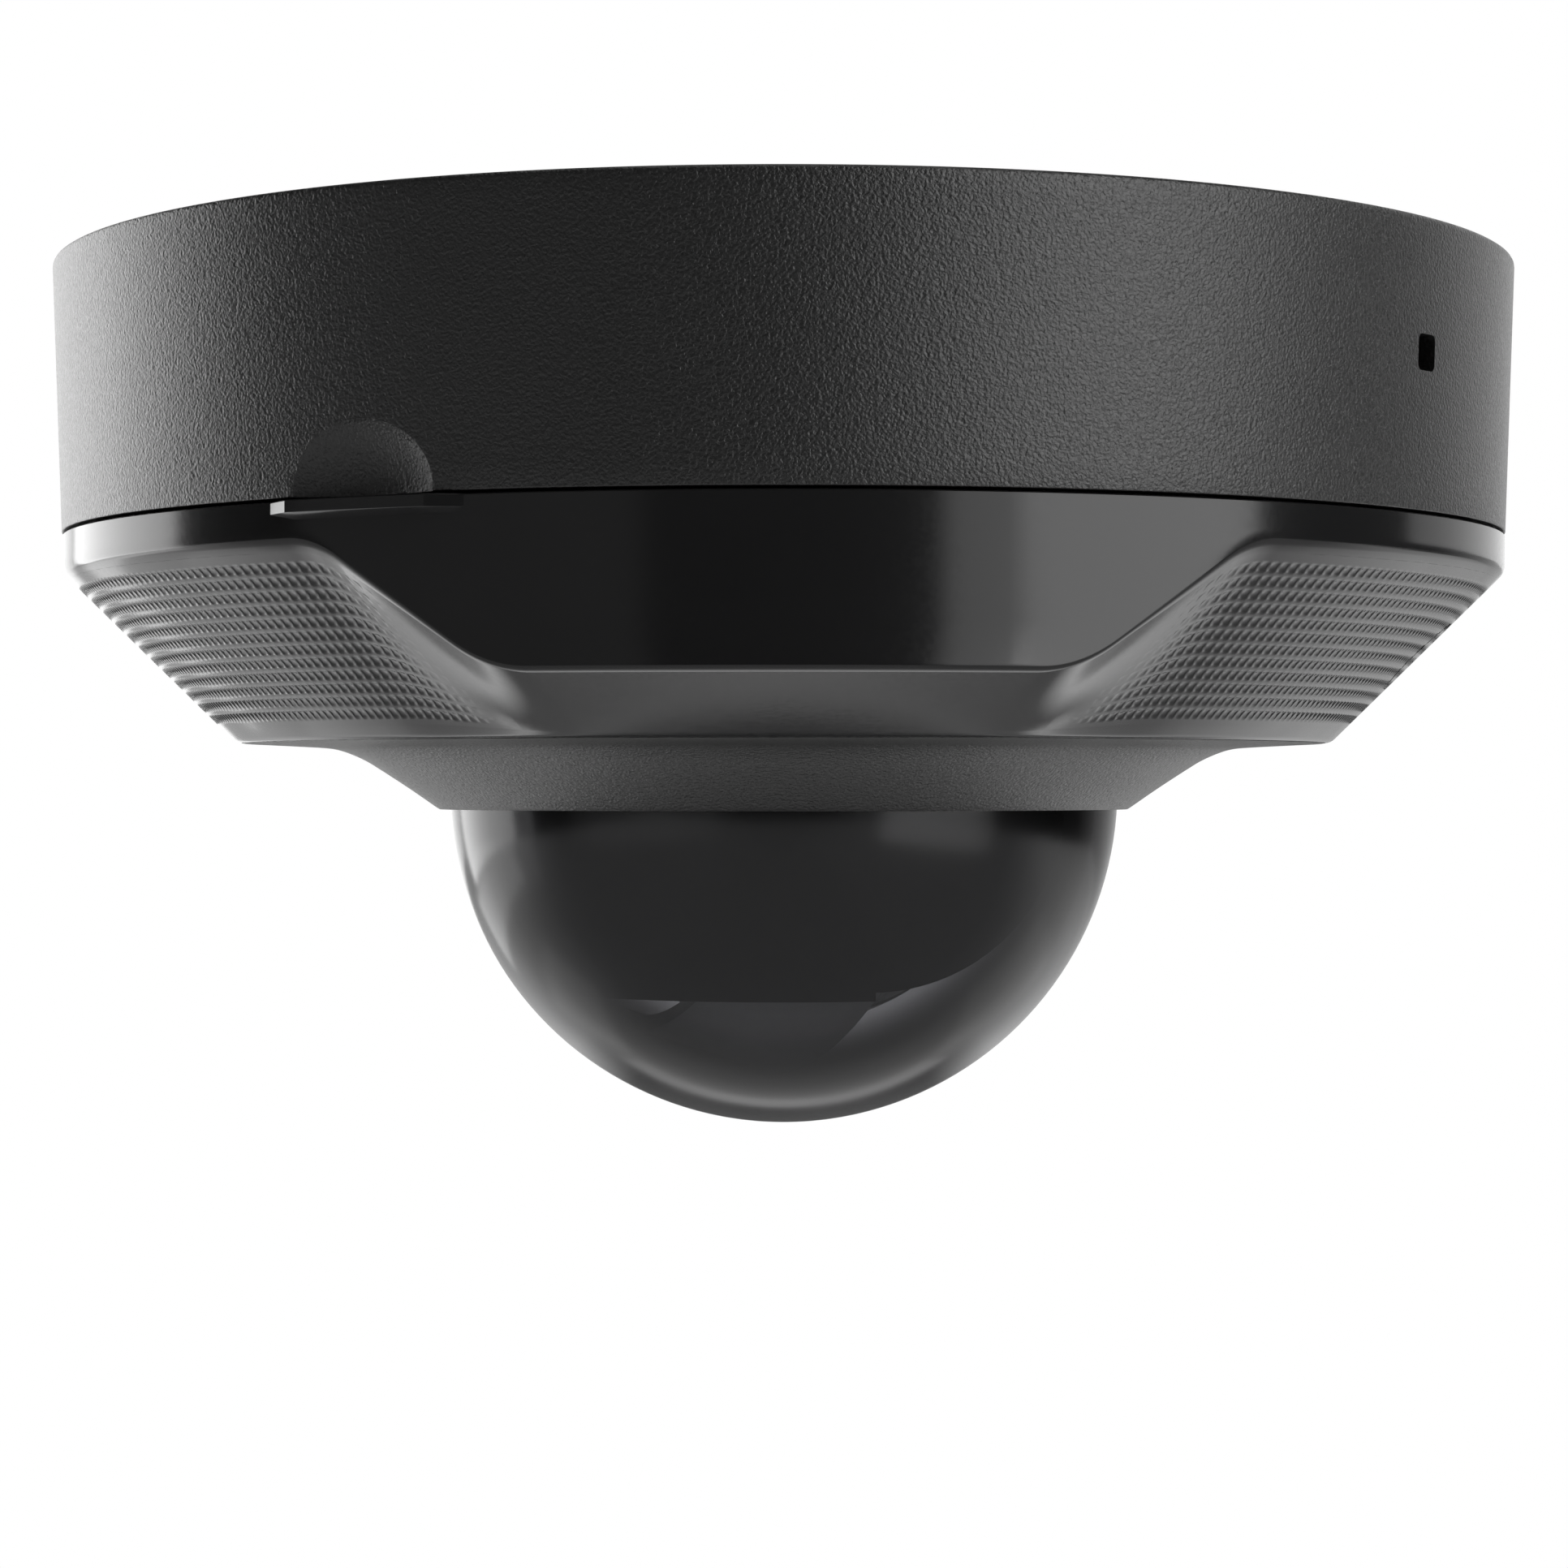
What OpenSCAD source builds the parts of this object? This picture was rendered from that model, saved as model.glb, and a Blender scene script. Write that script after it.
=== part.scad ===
// Ceiling dome camera. Units are millimetres.
// The ceiling face is z = 0 and the dome hangs down, so a depth is a distance below the ceiling.
// An azimuth is the angle about the vertical axis from the front (-Y) towards +X.

/* [Base housing] */
// Diameter of the housing at the ceiling
base_d = 132; // [120:1:160]
// Draft: how much smaller the radius is at the seam
base_draft = 0.8; // [0:0.1:3]
// Height of the base housing, ceiling to seam
base_h = 23.9; // [22:0.1:30]
// Thickness of the wall at the seam
base_wall_t = 2.3; // [1.6:0.1:3]
// Depth of the top side of the deck
deck_depth = 5; // [4:0.1:7]
// Thickness of the deck
deck_t = 2.2; // [1.5:0.1:3]
// Azimuth of the thumb scoop
scoop_az = -30; // [-60:1:0]
// Half width of the thumb scoop at the seam
scoop_half_w = 7.3; // [5:0.1:10]
// Height of the thumb scoop
scoop_h = 5.8; // [4:0.1:8]
// Depth of the thumb scoop at the seam
scoop_cut = 1.5; // [0.8:0.1:1.8]
// Width of the ledge for the cover gasket
ledge_w = 2.5; // [1.5:0.1:4]
// Thickness of that ledge
ledge_t = 1.6; // [1:0.1:3]

/* [Cover] */
// Seam gap between base and cover
seam_gap = 0.25; // [0.1:0.05:0.6]
// Height of the upright band at the sides
band_h = 3.35; // [2:0.05:6]
// Height of the upright front panel
panel_h = 13.55; // [10:0.05:15]
// Height of the cover, seam to its lower edge
cover_h = 18.35; // [16:0.05:22]
// Radius of the lower edge of the cover
cover_edge_r = 49.9; // [46:0.1:54]
// Half width of the front panel at its lower corners
panel_low_half_w = 22.55; // [18:0.05:28]
// Half width of the front panel at the band
panel_top_half_w = 36.6; // [30:0.1:42]
// Draft of the upright panel: how much smaller its radius is at its lower edge
panel_draft = 0.2; // [0:0.05:1]
// Wall thickness of the cover
cover_wall_t = 2.2; // [1.6:0.1:3]
// Wall thickness of the upstand that enters the base
upstand_t = 1.6; // [1.2:0.1:2.5]
// How far the upstand enters the base
upstand_h = 3.6; // [2:0.1:5]
// Width of the pull lip under the thumb scoop
lip_w = 18.5; // [12:0.1:24]
// Height of the pull lip
lip_h = 1.4; // [1:0.1:3]
// How far the pull lip stands out
lip_out = 1.2; // [0.6:0.1:2]
// Azimuth of the service plug
plug_az = 78.5; // [60:0.5:120]
// Radius of the service plug
plug_r = 3.8; // [3:0.1:5]
// Length of the service plug
plug_l = 5; // [3:0.1:8]

/* [Dome and collar] */
// Outer radius of the dome
dome_r = 30.6; // [28:0.1:34]
// Wall thickness of the dome
dome_t = 2; // [1.5:0.1:3]
// Width of the dome flange outside its wall
flange_w = 6.4; // [4:0.1:8]
// Thickness of the dome flange
flange_t = 1.8; // [1:0.1:3]
// Drop of the collar from the cover edge to its lower face
collar_h = 6; // [5:0.1:9]
// Drop of the middle of the dome below the cover edge
dome_drop = 4.08; // [3:0.02:6]
// Drop of the flat outer part of the collar
collar_flat_drop = 0.5; // [0.2:0.1:1]
// Radius where the flat outer part ends
collar_flat_r = 41.4; // [39:0.1:46]
// Thickness of the dome gasket
dome_gasket_t = 1; // [0.6:0.1:2]
// Thickness of the dome clamp ring
clamp_t = 1.6; // [1:0.1:3]
// Number of clamp screws
clamp_screws = 6; // [3:1:8]

/* [Mounting plate] */
// Thickness of the plate
plate_t = 1.6; // [1:0.1:3]
// Radius of the cable opening in the middle
plate_hole_r = 22; // [15:1:28]
// Diameter of the circle of fixing holes
fix_pcd = 96; // [80:1:104]
// Radius of a fixing hole
fix_r = 2.2; // [1.8:0.1:3]
// Width of a lug
lug_w = 12; // [8:1:16]
// Depth of the lower end of a lug
lug_depth = 14; // [12:0.1:16]
// Azimuth of the release slot, its latch and the first lug
latch_az = 53; // [45:1:60]
// Depth of the release slot
slot_depth = 11.06; // [10:0.1:12]
// Width of the release slot
slot_w = 2.85; // [2:0.05:4]
// Height of the release slot
slot_h = 2.98; // [2:0.02:4]

/* [Electronics] */
// Radius of the main board
board_r = 43; // [38:1:44]
// Thickness of the main board
board_t = 1.6; // [1:0.1:2]
// Depth of the upper side of the main board
board_depth = 11.5; // [11:0.1:12]
// Azimuth of the cable grommet
grommet_az = -128.7; // [-150:1:-110]
// Distance of the cable grommet from the middle
grommet_dist = 47; // [44:1:50]
// Radius of the grommet hole in the deck
grommet_r = 8; // [6:0.5:9]
// Radius of the cable hole in the grommet
cable_r = 3.2; // [2:0.1:4]
// Network jack: across, along its mouth and height
jack = [16, 21, 11.2];

/* [Pan and tilt unit] */
// Depth of the upper side of the chassis plate
chassis_depth = 19; // [18:0.1:20]
// Thickness of the chassis plate
chassis_t = 2; // [1.5:0.1:3]
// Width of the pan bearing between its bore and the chassis plate
pan_w = 5; // [3:0.1:6]
// Width of the bearing flanges outside the bearing
pan_flange_w = 3.5; // [2:0.1:5]
// Drop of the lower edge of the shroud below the middle of the dome
shroud_drop = 18.5; // [14:0.1:22]
// Wall thickness of the shroud
shroud_t = 1.3; // [1:0.1:1.6]
// Pan, tilt and roll of the camera as built
pan_rest = 33; // [0:1:60]
tilt_rest = 30; // [5:1:85]
roll_rest = 21; // [-30:1:30]
// Width of the grip belt
belt_w = 13.8; // [8:0.1:14]
// Thickness of the grip belt
belt_t = 1.4; // [1:0.1:2]
// Thickness of the cradle ring along the lens axis
cradle_t = 6; // [4:0.1:8]
// Radius of the tilt pivots
pivot_r = 2; // [1.5:0.1:3]
// Thickness of a yoke arm
arm_t = 2.2; // [1.6:0.1:2.4]
// Half width of a yoke arm
arm_half_w = 6; // [4:0.1:7]

/* [Lens] */
// Outer radius of the lens barrel
barrel_r = 7; // [6:0.1:8]
// Outer radius of the focus ring
focus_r = 9.4; // [8:0.1:10.5]
// Width of the focus ring along the lens axis
focus_w = 3; // [2:0.1:4]

/* [Fits] */
// Radial clearance of a shaft that turns in a bore
run_gap = 0.05; // [0.02:0.01:0.1]
// Clearance between parts that pass each other
pass_gap = 0.4; // [0.3:0.05:0.8]
// Clearance of a screw in its hole
screw_gap = 0.1; // [0.05:0.05:0.3]

/* [Hidden] */
$fn = 64;
eps = 0.01;

// Housing and cover.
base_r = base_d/2;
seam_r = base_r - base_draft;
wall_in_r = seam_r - base_wall_t;
deck_low = deck_depth + deck_t;
cover_top = base_h + seam_gap;
upstand_top = cover_top - upstand_h;
upstand_r = wall_in_r - pass_gap;
upstand_in_r = upstand_r - upstand_t;
gasket_t = 1.6;
ledge_low = upstand_top - 0.3 - gasket_t;
ledge_depth = ledge_low - ledge_t;
band_low = cover_top + band_h;
panel_low = cover_top + panel_h;
cover_low = cover_top + cover_h;
panel_drop = cover_low - panel_low;
panel_edge_r = cover_edge_r + 0.15;
side_r = seam_r - panel_draft*band_h/panel_h;

// Collar, dome and the ring that clamps them.
collar_low = cover_low + collar_h;
collar_r = cover_edge_r - 0.7;
collar_low_r = dome_r + 0.9;
dome_mid = cover_low + dome_drop;
flange_low = cover_low + 0.5;
flange_top = flange_low - flange_t;
flange_r = dome_r + flange_w;
clamp_low = flange_top - dome_gasket_t;
clamp_seat_r = cover_edge_r - 3.6;
clamp_screw_dist = (flange_r + clamp_seat_r)/2 + 0.8;
cover_ledge_low = cover_low - 1.6;
cover_ledge_top = cover_ledge_low - 1.5;

// Mounting plate and the latch that holds its first lug.
plate_r = wall_in_r - 3.9;
lug_t = 1.6;
lug_r = plate_r - 1.2;
lug_azs = [latch_az, latch_az + 120, latch_az + 240];
latch_body = [9, 5.8, 5.2];
latch_nose = [3.2, 3.2, 2.8];
latch_back = lug_r - lug_t - 1.2 - latch_body[1];
spring_r = 2;
spring_l = 4.9;
rail_t = 1.6;
rail_l = latch_body[1] + spring_l + 1;
rail_mid = latch_back + latch_body[1] - rail_l/2;
rail_low = slot_depth + 2.1;
keeper_t = 1.2;

// Chassis plate on posts, and the electronics.
chassis_low = chassis_depth + chassis_t;
chassis_r = upstand_in_r - 2.4;
post_azs = [20, 100, 200, 315];
post_dist = chassis_r - 4.5;
post_r = 3.2;
insert_r = 2.1;
insert_l = 6;
board_low = board_depth + board_t;
board_post_azs = [45:90:315];
board_post_dist = board_r - 7;
board_post_r = 3;
screw_r = 1.2;
head_r = 2.4;
head_h = 1.6;
grommet_t = 1.2;
chip_h = 1.3;
pad_h = 0.8;
switch_pos = [20.9, -33.5];
led_pos = [-20.9, -33.5];
card = [11, 15, 0.8];
card_depth = board_low + 0.75;
card_slot = [14, 15, 1.95];
card_slot_front = board_r - 1.5;

// Shroud, camera and bearings, sized to turn inside the dome.
shroud_r = dome_r - dome_t - 0.5;
shroud_inner_r = shroud_r - shroud_t;
shroud_depth = dome_mid + shroud_drop;
shroud_half_w = 25;
shroud_corner_r = 17;
camera_r = shroud_inner_r - 0.65;
belt_r = sqrt(camera_r*camera_r - belt_w*belt_w/4);
shell_r = belt_r - 3.4;
shell_t = 2;
cradle_r = shell_r - 0.4;
roll_r = cradle_r - 3.9;
journal_r = roll_r - run_gap;
journal_inner_r = roll_r - 2.2;
arm_in = cradle_r + 0.8;
arm_out = arm_in + arm_t;
pan_inner_r = shroud_inner_r + 0.2;
pan_r = pan_inner_r + pan_w;
pan_flange_r = pan_r + pan_flange_w;
pan_flange_t = 2;
pan_flange_top = chassis_low + 0.3;
pan_flange_low = pan_flange_top + pan_flange_t;
retainer_t = 1.5;
retainer_low = chassis_depth - 0.3;
retainer_inner_r = pan_inner_r + 1.6;
retainer_screw_dist = pan_r - 1.4;
lock_az = -150;
lock_dist = pan_r - 2.2;

// Inside the camera, as distances along the lens axis from the middle of the dome.
front_shell_start = cradle_t/2 + 0.3;
front_shell_end = shell_r - 5.8;
rear_shell_start = cradle_t/2 + 1;
sensor_back = -9;
filter_t = 0.6;
holder_r = barrel_r + 1.6;
lens_r = barrel_r - 1;
lens_front = belt_r - 1.6;
focus_at = lens_front - 4.6;

// Ribbon cable, beside the grip belt.
ribbon_side = belt_w/2 + 5.6;
ribbon_back = 20;
ribbon_bend = dome_mid - 13.6;
ribbon_w = 6;
ribbon_t = 0.3;

// ---- shared shapes ----

// Puts its children at an azimuth and a distance from the middle, at a depth, facing out along -Y.
module at_azimuth(az, dist = 0, depth = 0) {
    rotate([0, 0, az]) translate([0, -dist, -depth]) children();
}

// A ring between two depths.
module ring(r_out, r_in, top, low) {
    translate([0, 0, -low]) difference() {
        cylinder(r = r_out, h = low - top);
        translate([0, 0, -1]) cylinder(r = r_in, h = low - top + 2);
    }
}

// A round bar from one depth down to another.
module bar(r, top, low) {
    translate([0, 0, -low]) cylinder(r = r, h = low - top);
}

// A block centred across and along, from one depth down to another.
module block(w, l, top, low) {
    translate([-w/2, -l/2, -low]) cube([w, l, low - top]);
}

// A pan-head screw whose head hangs below its seat, with the shank going up.
module screw_up(seat, shank_l, shank_r = screw_r, cap_r = head_r, cap_h = head_h) {
    bar(shank_r, seat - shank_l, seat);
    difference() {
        bar(cap_r, seat, seat + cap_h);
        block(0.6, cap_r*1.4, seat + cap_h*0.5, seat + cap_h + 1);
        block(cap_r*1.4, 0.6, seat + cap_h*0.5, seat + cap_h + 1);
    }
}

// The camera's own frame: lens along +Y, tilt pivots along X, as it is panned, tilted and rolled.
module in_pan() {
    translate([0, 0, -dome_mid]) rotate([0, 0, pan_rest]) children();
}

module in_tilt() {
    in_pan() rotate([-tilt_rest, 0, 0]) children();
}

module in_roll() {
    in_tilt() rotate([0, roll_rest, 0]) children();
}

// A round bar along the lens axis, from one distance to another.
module lens_bar(r, from, to) {
    translate([0, from, 0]) rotate([-90, 0, 0]) cylinder(r = r, h = to - from);
}

module lens_ring(r_out, r_in, from, to) {
    difference() {
        lens_bar(r_out, from, to);
        lens_bar(r_in, from - 1, to + 1);
    }
}

// ---- fixed to the ceiling ----

// Steel plate screwed to the ceiling, with three lugs that the housing turns onto.
module mounting_plate() {
    color([0.62, 0.63, 0.65]) {
        difference() {
            bar(plate_r, 0, plate_t);
            bar(plate_hole_r, -1, plate_t + 1);
            for (az = [0:90:270])
                at_azimuth(az, fix_pcd/2) bar(fix_r, -1, plate_t + 1);
            at_azimuth(grommet_az, grommet_dist) bar(grommet_r + 1, -1, plate_t + 1);
        }
        for (az = lug_azs)
            mounting_lug(az);
    }
}

module mounting_lug(az) {
    at_azimuth(az) difference() {
        translate([-lug_w/2, -lug_r, -lug_depth]) cube([lug_w, lug_t, lug_depth - plate_t/2]);
        translate([-latch_nose[0]/2 - pass_gap, -lug_r - 1, -slot_depth - latch_nose[2]/2 - pass_gap])
            cube([latch_nose[0] + 2*pass_gap, lug_t + 2, latch_nose[2] + 2*pass_gap]);
    }
}

// Foam ring on the deck that seals against the ceiling.
module ceiling_gasket() {
    color([0.12, 0.12, 0.12]) ring(wall_in_r, plate_r + 0.6, 0.2, deck_depth);
}

// Moulded base with its deck, posts, latch rails, thumb scoop and release slot.
module base_housing() {
    color([0.09, 0.09, 0.1]) difference() {
        union() {
            base_shell();
            base_posts();
            latch_rails();
        }
        for (az = lug_azs)
            at_azimuth(az, lug_r - lug_t/2)
                block(lug_w + 2*pass_gap, lug_t + 2*pass_gap, deck_depth - 1, deck_low + 1);
        at_azimuth(grommet_az, grommet_dist) bar(grommet_r, deck_depth - 1, deck_low + 1);
        at_azimuth(latch_az, base_r, 0)
            block(slot_w, 12, slot_depth - slot_h/2, slot_depth + slot_h/2);
        thumb_scoop();
        for (az = post_azs)
            at_azimuth(az, post_dist) bar(insert_r, chassis_depth - insert_l, chassis_depth + 1);
        for (az = board_post_azs)
            at_azimuth(az, board_post_dist) bar(screw_r, deck_low + 0.5, board_depth + 1);
    }
}

module base_shell() {
    difference() {
        translate([0, 0, -base_h]) cylinder(r1 = seam_r, r2 = base_r, h = base_h, $fn = 128);
        bar(wall_in_r, -1, deck_depth);
        bar(wall_in_r, deck_low, ledge_depth);
        bar(wall_in_r - ledge_w, ledge_depth - 1, ledge_low + 1);
        bar(wall_in_r, ledge_low, base_h + 1);
    }
}

module base_posts() {
    for (az = post_azs)
        at_azimuth(az, post_dist) bar(post_r, deck_low - eps, chassis_depth);
    for (az = board_post_azs)
        at_azimuth(az, board_post_dist) bar(board_post_r, deck_low - eps, board_depth);
}

// Rails each side of the latch and the wall its spring pushes on.
module latch_rails() {
    gap_w = latch_body[0] + 2*pass_gap;
    at_azimuth(latch_az, rail_mid)
        for (side = [-1, 1])
            translate([side*(gap_w + rail_t)/2, 0, 0])
                block(rail_t, rail_l, deck_low - eps, rail_low);
    at_azimuth(latch_az, rail_mid - rail_l/2 + 0.5)
        block(gap_w + eps, 1, deck_low - eps, rail_low);
}

// Round-topped hollow in the lower rim, deeper towards the seam.
module thumb_scoop() {
    r = (scoop_half_w*scoop_half_w + scoop_h*scoop_h)/(2*scoop_h);
    top = base_h - scoop_h;
    at_azimuth(scoop_az) difference() {
        translate([0, 0, -top - r]) rotate([90, 0, 0]) cylinder(r = r, h = base_r + 5);
        translate([0, 0, -base_h - r]) cylinder(
            r1 = seam_r - scoop_cut*(1 + r/scoop_h), r2 = seam_r + 0.2, h = scoop_h + r, $fn = 128);
    }
}

// Rubber grommet in the deck where the cable comes in.
module cable_grommet() {
    color([0.05, 0.05, 0.05]) at_azimuth(grommet_az, grommet_dist) difference() {
        union() {
            bar(grommet_r, deck_depth, deck_low);
            bar(grommet_r + 0.9, deck_depth - grommet_t, deck_depth);
            bar(grommet_r + 0.9, deck_low, deck_low + grommet_t);
        }
        bar(cable_r, deck_depth - grommet_t - 1, deck_low + grommet_t + 1);
    }
}

// Plate that holds the latch up between its rails.
module latch_keeper() {
    color([0.3, 0.3, 0.32]) at_azimuth(latch_az, rail_mid)
        block(latch_body[0] + 2*pass_gap + 2*rail_t, rail_l, rail_low, rail_low + keeper_t);
}

// Sprung latch whose nose locks the first lug.
module release_latch() {
    color([0.85, 0.35, 0.1]) {
        at_azimuth(latch_az, latch_back + latch_body[1]/2)
            block(latch_body[0], latch_body[1], rail_low - 0.3 - latch_body[2], rail_low - 0.3);
        at_azimuth(latch_az, latch_back + latch_body[1] + latch_nose[1]/2 - eps)
            block(latch_nose[0], latch_nose[1], slot_depth - latch_nose[2]/2,
                slot_depth + latch_nose[2]/2);
    }
}

// Compression spring behind the latch.
module latch_spring() {
    color([0.75, 0.75, 0.78]) at_azimuth(latch_az, latch_back, slot_depth)
        rotate([-90, 0, 0]) difference() {
            cylinder(r = spring_r, h = spring_l);
            translate([0, 0, -1]) cylinder(r = spring_r - 0.5, h = spring_l + 2);
        }
}

// ---- electronics ----

module main_board() {
    color([0.05, 0.32, 0.16]) difference() {
        bar(board_r, board_depth, board_low);
        for (az = board_post_azs)
            at_azimuth(az, board_post_dist) bar(screw_r + screw_gap, board_depth - 1, board_low + 1);
        translate([-board_r, 0, 0]) block(2, jack[1] + 0.4, board_depth - 1, board_low + 1);
    }
}

module board_screws() {
    color([0.7, 0.7, 0.72])
        for (az = board_post_azs)
            at_azimuth(az, board_post_dist) screw_up(board_low, 4.6, screw_r - 0.05);
}

// Aluminium block between the deck and the processor.
module heat_sink() {
    color([0.7, 0.71, 0.73]) block(28, 28, deck_low, board_depth - chip_h - pad_h);
}

module thermal_pad() {
    color([0.55, 0.6, 0.75]) block(16, 16, board_depth - chip_h - pad_h, board_depth - chip_h);
}

module processor() {
    color([0.1, 0.1, 0.1]) block(15, 15, board_depth - chip_h, board_depth);
}

// Network jack in the edge of the board, with its mouth facing back.
module network_jack() {
    top = deck_low + 0.2;
    color([0.72, 0.73, 0.75]) translate([-board_r - jack[0]/2, 0, 0]) difference() {
        block(jack[0], jack[1], top, top + jack[2]);
        translate([0, 4, 0]) block(11.8, jack[1], top + 1.6, top + 8.4);
        translate([0, 4, 0]) block(6, jack[1], top + 8, top + 10);
    }
    color([0.72, 0.73, 0.75]) translate([-board_r, 0, 0])
        block(2, jack[1] - 2, board_depth, board_low);
}

module terminal_block() {
    color([0.15, 0.45, 0.2]) translate([29, 12, 0]) difference() {
        block(8, 12, board_low, board_low + 3.6);
        for (y = [-3.6:2.4:3.6])
            translate([2, y, 0]) rotate([0, 90, 0]) translate([board_low + 1.8, 0, 0])
                cylinder(r = 0.8, h = 4);
    }
}

module card_slot() {
    color([0.75, 0.75, 0.77])
        translate([0, card_slot[1]/2 - card_slot_front, 0]) difference() {
            block(card_slot[0], card_slot[1], board_low, board_low + card_slot[2]);
            translate([0, -1, 0])
                block(card[0] + 0.4, card_slot[1], card_depth - 0.2, card_depth + card[2] + 0.2);
        }
}

module memory_card() {
    color([0.08, 0.08, 0.09])
        translate([0, card[1]/2 - card_slot_front - 1.2, 0])
            block(card[0], card[1], card_depth, card_depth + card[2]);
}

module reset_switch() {
    color([0.6, 0.61, 0.63]) translate([switch_pos[0], switch_pos[1], 0]) difference() {
        block(5, 5, board_low, board_low + 3);
        bar(1.3, board_low + 1.2, board_low + 4);
    }
}

module reset_button() {
    color([0.75, 0.1, 0.08]) translate([switch_pos[0], switch_pos[1], 0])
        bar(1.25, board_low + 1.7, board_low + 4);
}

module status_light() {
    color([0.8, 0.9, 0.8]) translate([led_pos[0], led_pos[1], 0]) {
        block(3, 2, board_low, board_low + 0.8);
        bar(0.8, board_low + 0.8 - eps, board_low + 1.6);
    }
}

// Connector and ribbon cable that lead to the image sensor, beside the grip belt.
module ribbon_connector() {
    color([0.9, 0.88, 0.8]) rotate([0, 0, pan_rest]) translate([ribbon_side, -ribbon_back, 0])
        block(8, 3.2, board_low, board_low + 2);
}

module ribbon_cable() {
    top = board_low + 2;
    color([0.85, 0.6, 0.25]) rotate([0, 0, pan_rest]) translate([ribbon_side, -ribbon_back, 0]) {
        block(ribbon_w, ribbon_t, top, ribbon_bend);
        translate([0, 0, -ribbon_bend]) rotate([40, 0, 0]) block(ribbon_w, ribbon_t, -0.1, 6.4);
    }
}

// ---- chassis ----

// Ring-shaped plate that carries the pan unit, with a hole for reaching the reset button.
module chassis_plate() {
    color([0.13, 0.13, 0.14]) difference() {
        ring(chassis_r, pan_r, chassis_depth, chassis_low);
        for (az = post_azs)
            at_azimuth(az, post_dist) bar(1.7, chassis_depth - 1, chassis_low + 1);
        translate([switch_pos[0], switch_pos[1], 0]) bar(2.2, chassis_depth - 1, chassis_low + 1);
        translate([led_pos[0], led_pos[1], 0]) bar(2.2, chassis_depth - 1, chassis_low + 1);
    }
}

module brass_inserts() {
    color([0.78, 0.62, 0.25])
        for (az = post_azs)
            at_azimuth(az, post_dist) ring(insert_r, 1.5, chassis_depth - insert_l, chassis_depth);
}

module chassis_screws() {
    color([0.7, 0.7, 0.72])
        for (az = post_azs)
            at_azimuth(az, post_dist) screw_up(chassis_low, 7, 1.45, 3, 2);
}

// Spring-steel strips on the chassis edge that grip the upstand of the cover.
module cover_springs() {
    color([0.7, 0.7, 0.73])
        for (az = [-10:120:230])
            at_azimuth(az) {
                translate([-5, -upstand_in_r + 0.7, -chassis_low - 6])
                    cube([10, 0.5, 7]);
                translate([-5, -upstand_in_r + 0.7, -chassis_low - 0.5])
                    cube([10, upstand_in_r - 0.7 - chassis_r + 3, 0.5]);
                translate([-5, -upstand_in_r + 0.35, -chassis_low - 3.5])
                    cube([10, 0.35 + eps, 1.2]);
            }
}

module cover_gasket() {
    color([0.06, 0.06, 0.06])
        ring(wall_in_r, upstand_in_r, ledge_low, ledge_low + gasket_t);
}

// ---- pan unit ----

// Bearing ring with the two yoke arms that carry the tilt pivots.
module pan_ring() {
    color([0.11, 0.11, 0.12]) difference() {
        union() {
            ring(pan_r - run_gap, pan_inner_r, retainer_low, pan_flange_top + eps);
            ring(pan_flange_r, pan_inner_r, pan_flange_top, pan_flange_low);
            for (side = [-1, 1])
                yoke_arm(side);
        }
        for (az = [60:120:300])
            at_azimuth(az, retainer_screw_dist) bar(0.9, retainer_low - 1, pan_flange_low - 0.6);
        at_azimuth(lock_az, lock_dist) bar(screw_r, retainer_low - 1, pan_flange_low + 1);
    }
}

module yoke_arm(side) {
    drop = dome_mid - pan_flange_top;
    in_pan() rotate([0, 0, side > 0 ? 0 : 180]) difference() {
        union() {
            translate([arm_in, -arm_half_w, 0]) cube([arm_t, 2*arm_half_w, drop]);
            translate([arm_in, 0, 0]) rotate([0, 90, 0]) cylinder(r = arm_half_w, h = arm_t);
            translate([arm_in, -arm_half_w, drop - pan_flange_t])
                cube([pan_r - 1.2 - arm_in, 2*arm_half_w, pan_flange_t]);
        }
        translate([arm_in - 1, 0, 0]) rotate([0, 90, 0]) cylinder(r = pivot_r, h = arm_t + 2);
    }
}

module pan_retainer() {
    color([0.16, 0.16, 0.17]) difference() {
        ring(pan_r + 2.5, retainer_inner_r, retainer_low - retainer_t, retainer_low);
        for (az = [60:120:300])
            at_azimuth(az, retainer_screw_dist) {
                bar(1.7, retainer_low - retainer_t - 1, retainer_low - 0.5);
                bar(0.95, retainer_low - retainer_t - 1, retainer_low + 1);
            }
    }
}

module retainer_screws() {
    color([0.7, 0.7, 0.72])
        for (az = [60:120:300])
            at_azimuth(az, retainer_screw_dist) {
                bar(1.65, retainer_low - retainer_t, retainer_low - 0.5);
                bar(0.85, retainer_low - 0.5 - eps, pan_flange_low - 1);
            }
}

module pan_lock_screw() {
    color([0.7, 0.7, 0.72])
        at_azimuth(lock_az, lock_dist) screw_up(pan_flange_low, 3.4, screw_r - 0.05);
}

// Dark shroud that hides the back of the camera, open behind and at its right.
module shroud() {
    color([0.05, 0.05, 0.055]) intersection() {
        difference() {
            union() {
                translate([0, 0, -dome_mid]) sphere(r = shroud_r);
                bar(shroud_r, pan_flange_low, dome_mid);
            }
            translate([0, 0, -dome_mid]) sphere(r = shroud_inner_r);
            bar(shroud_inner_r, pan_flange_low - 1, dome_mid);
        }
        shroud_outline();
    }
}

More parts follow.
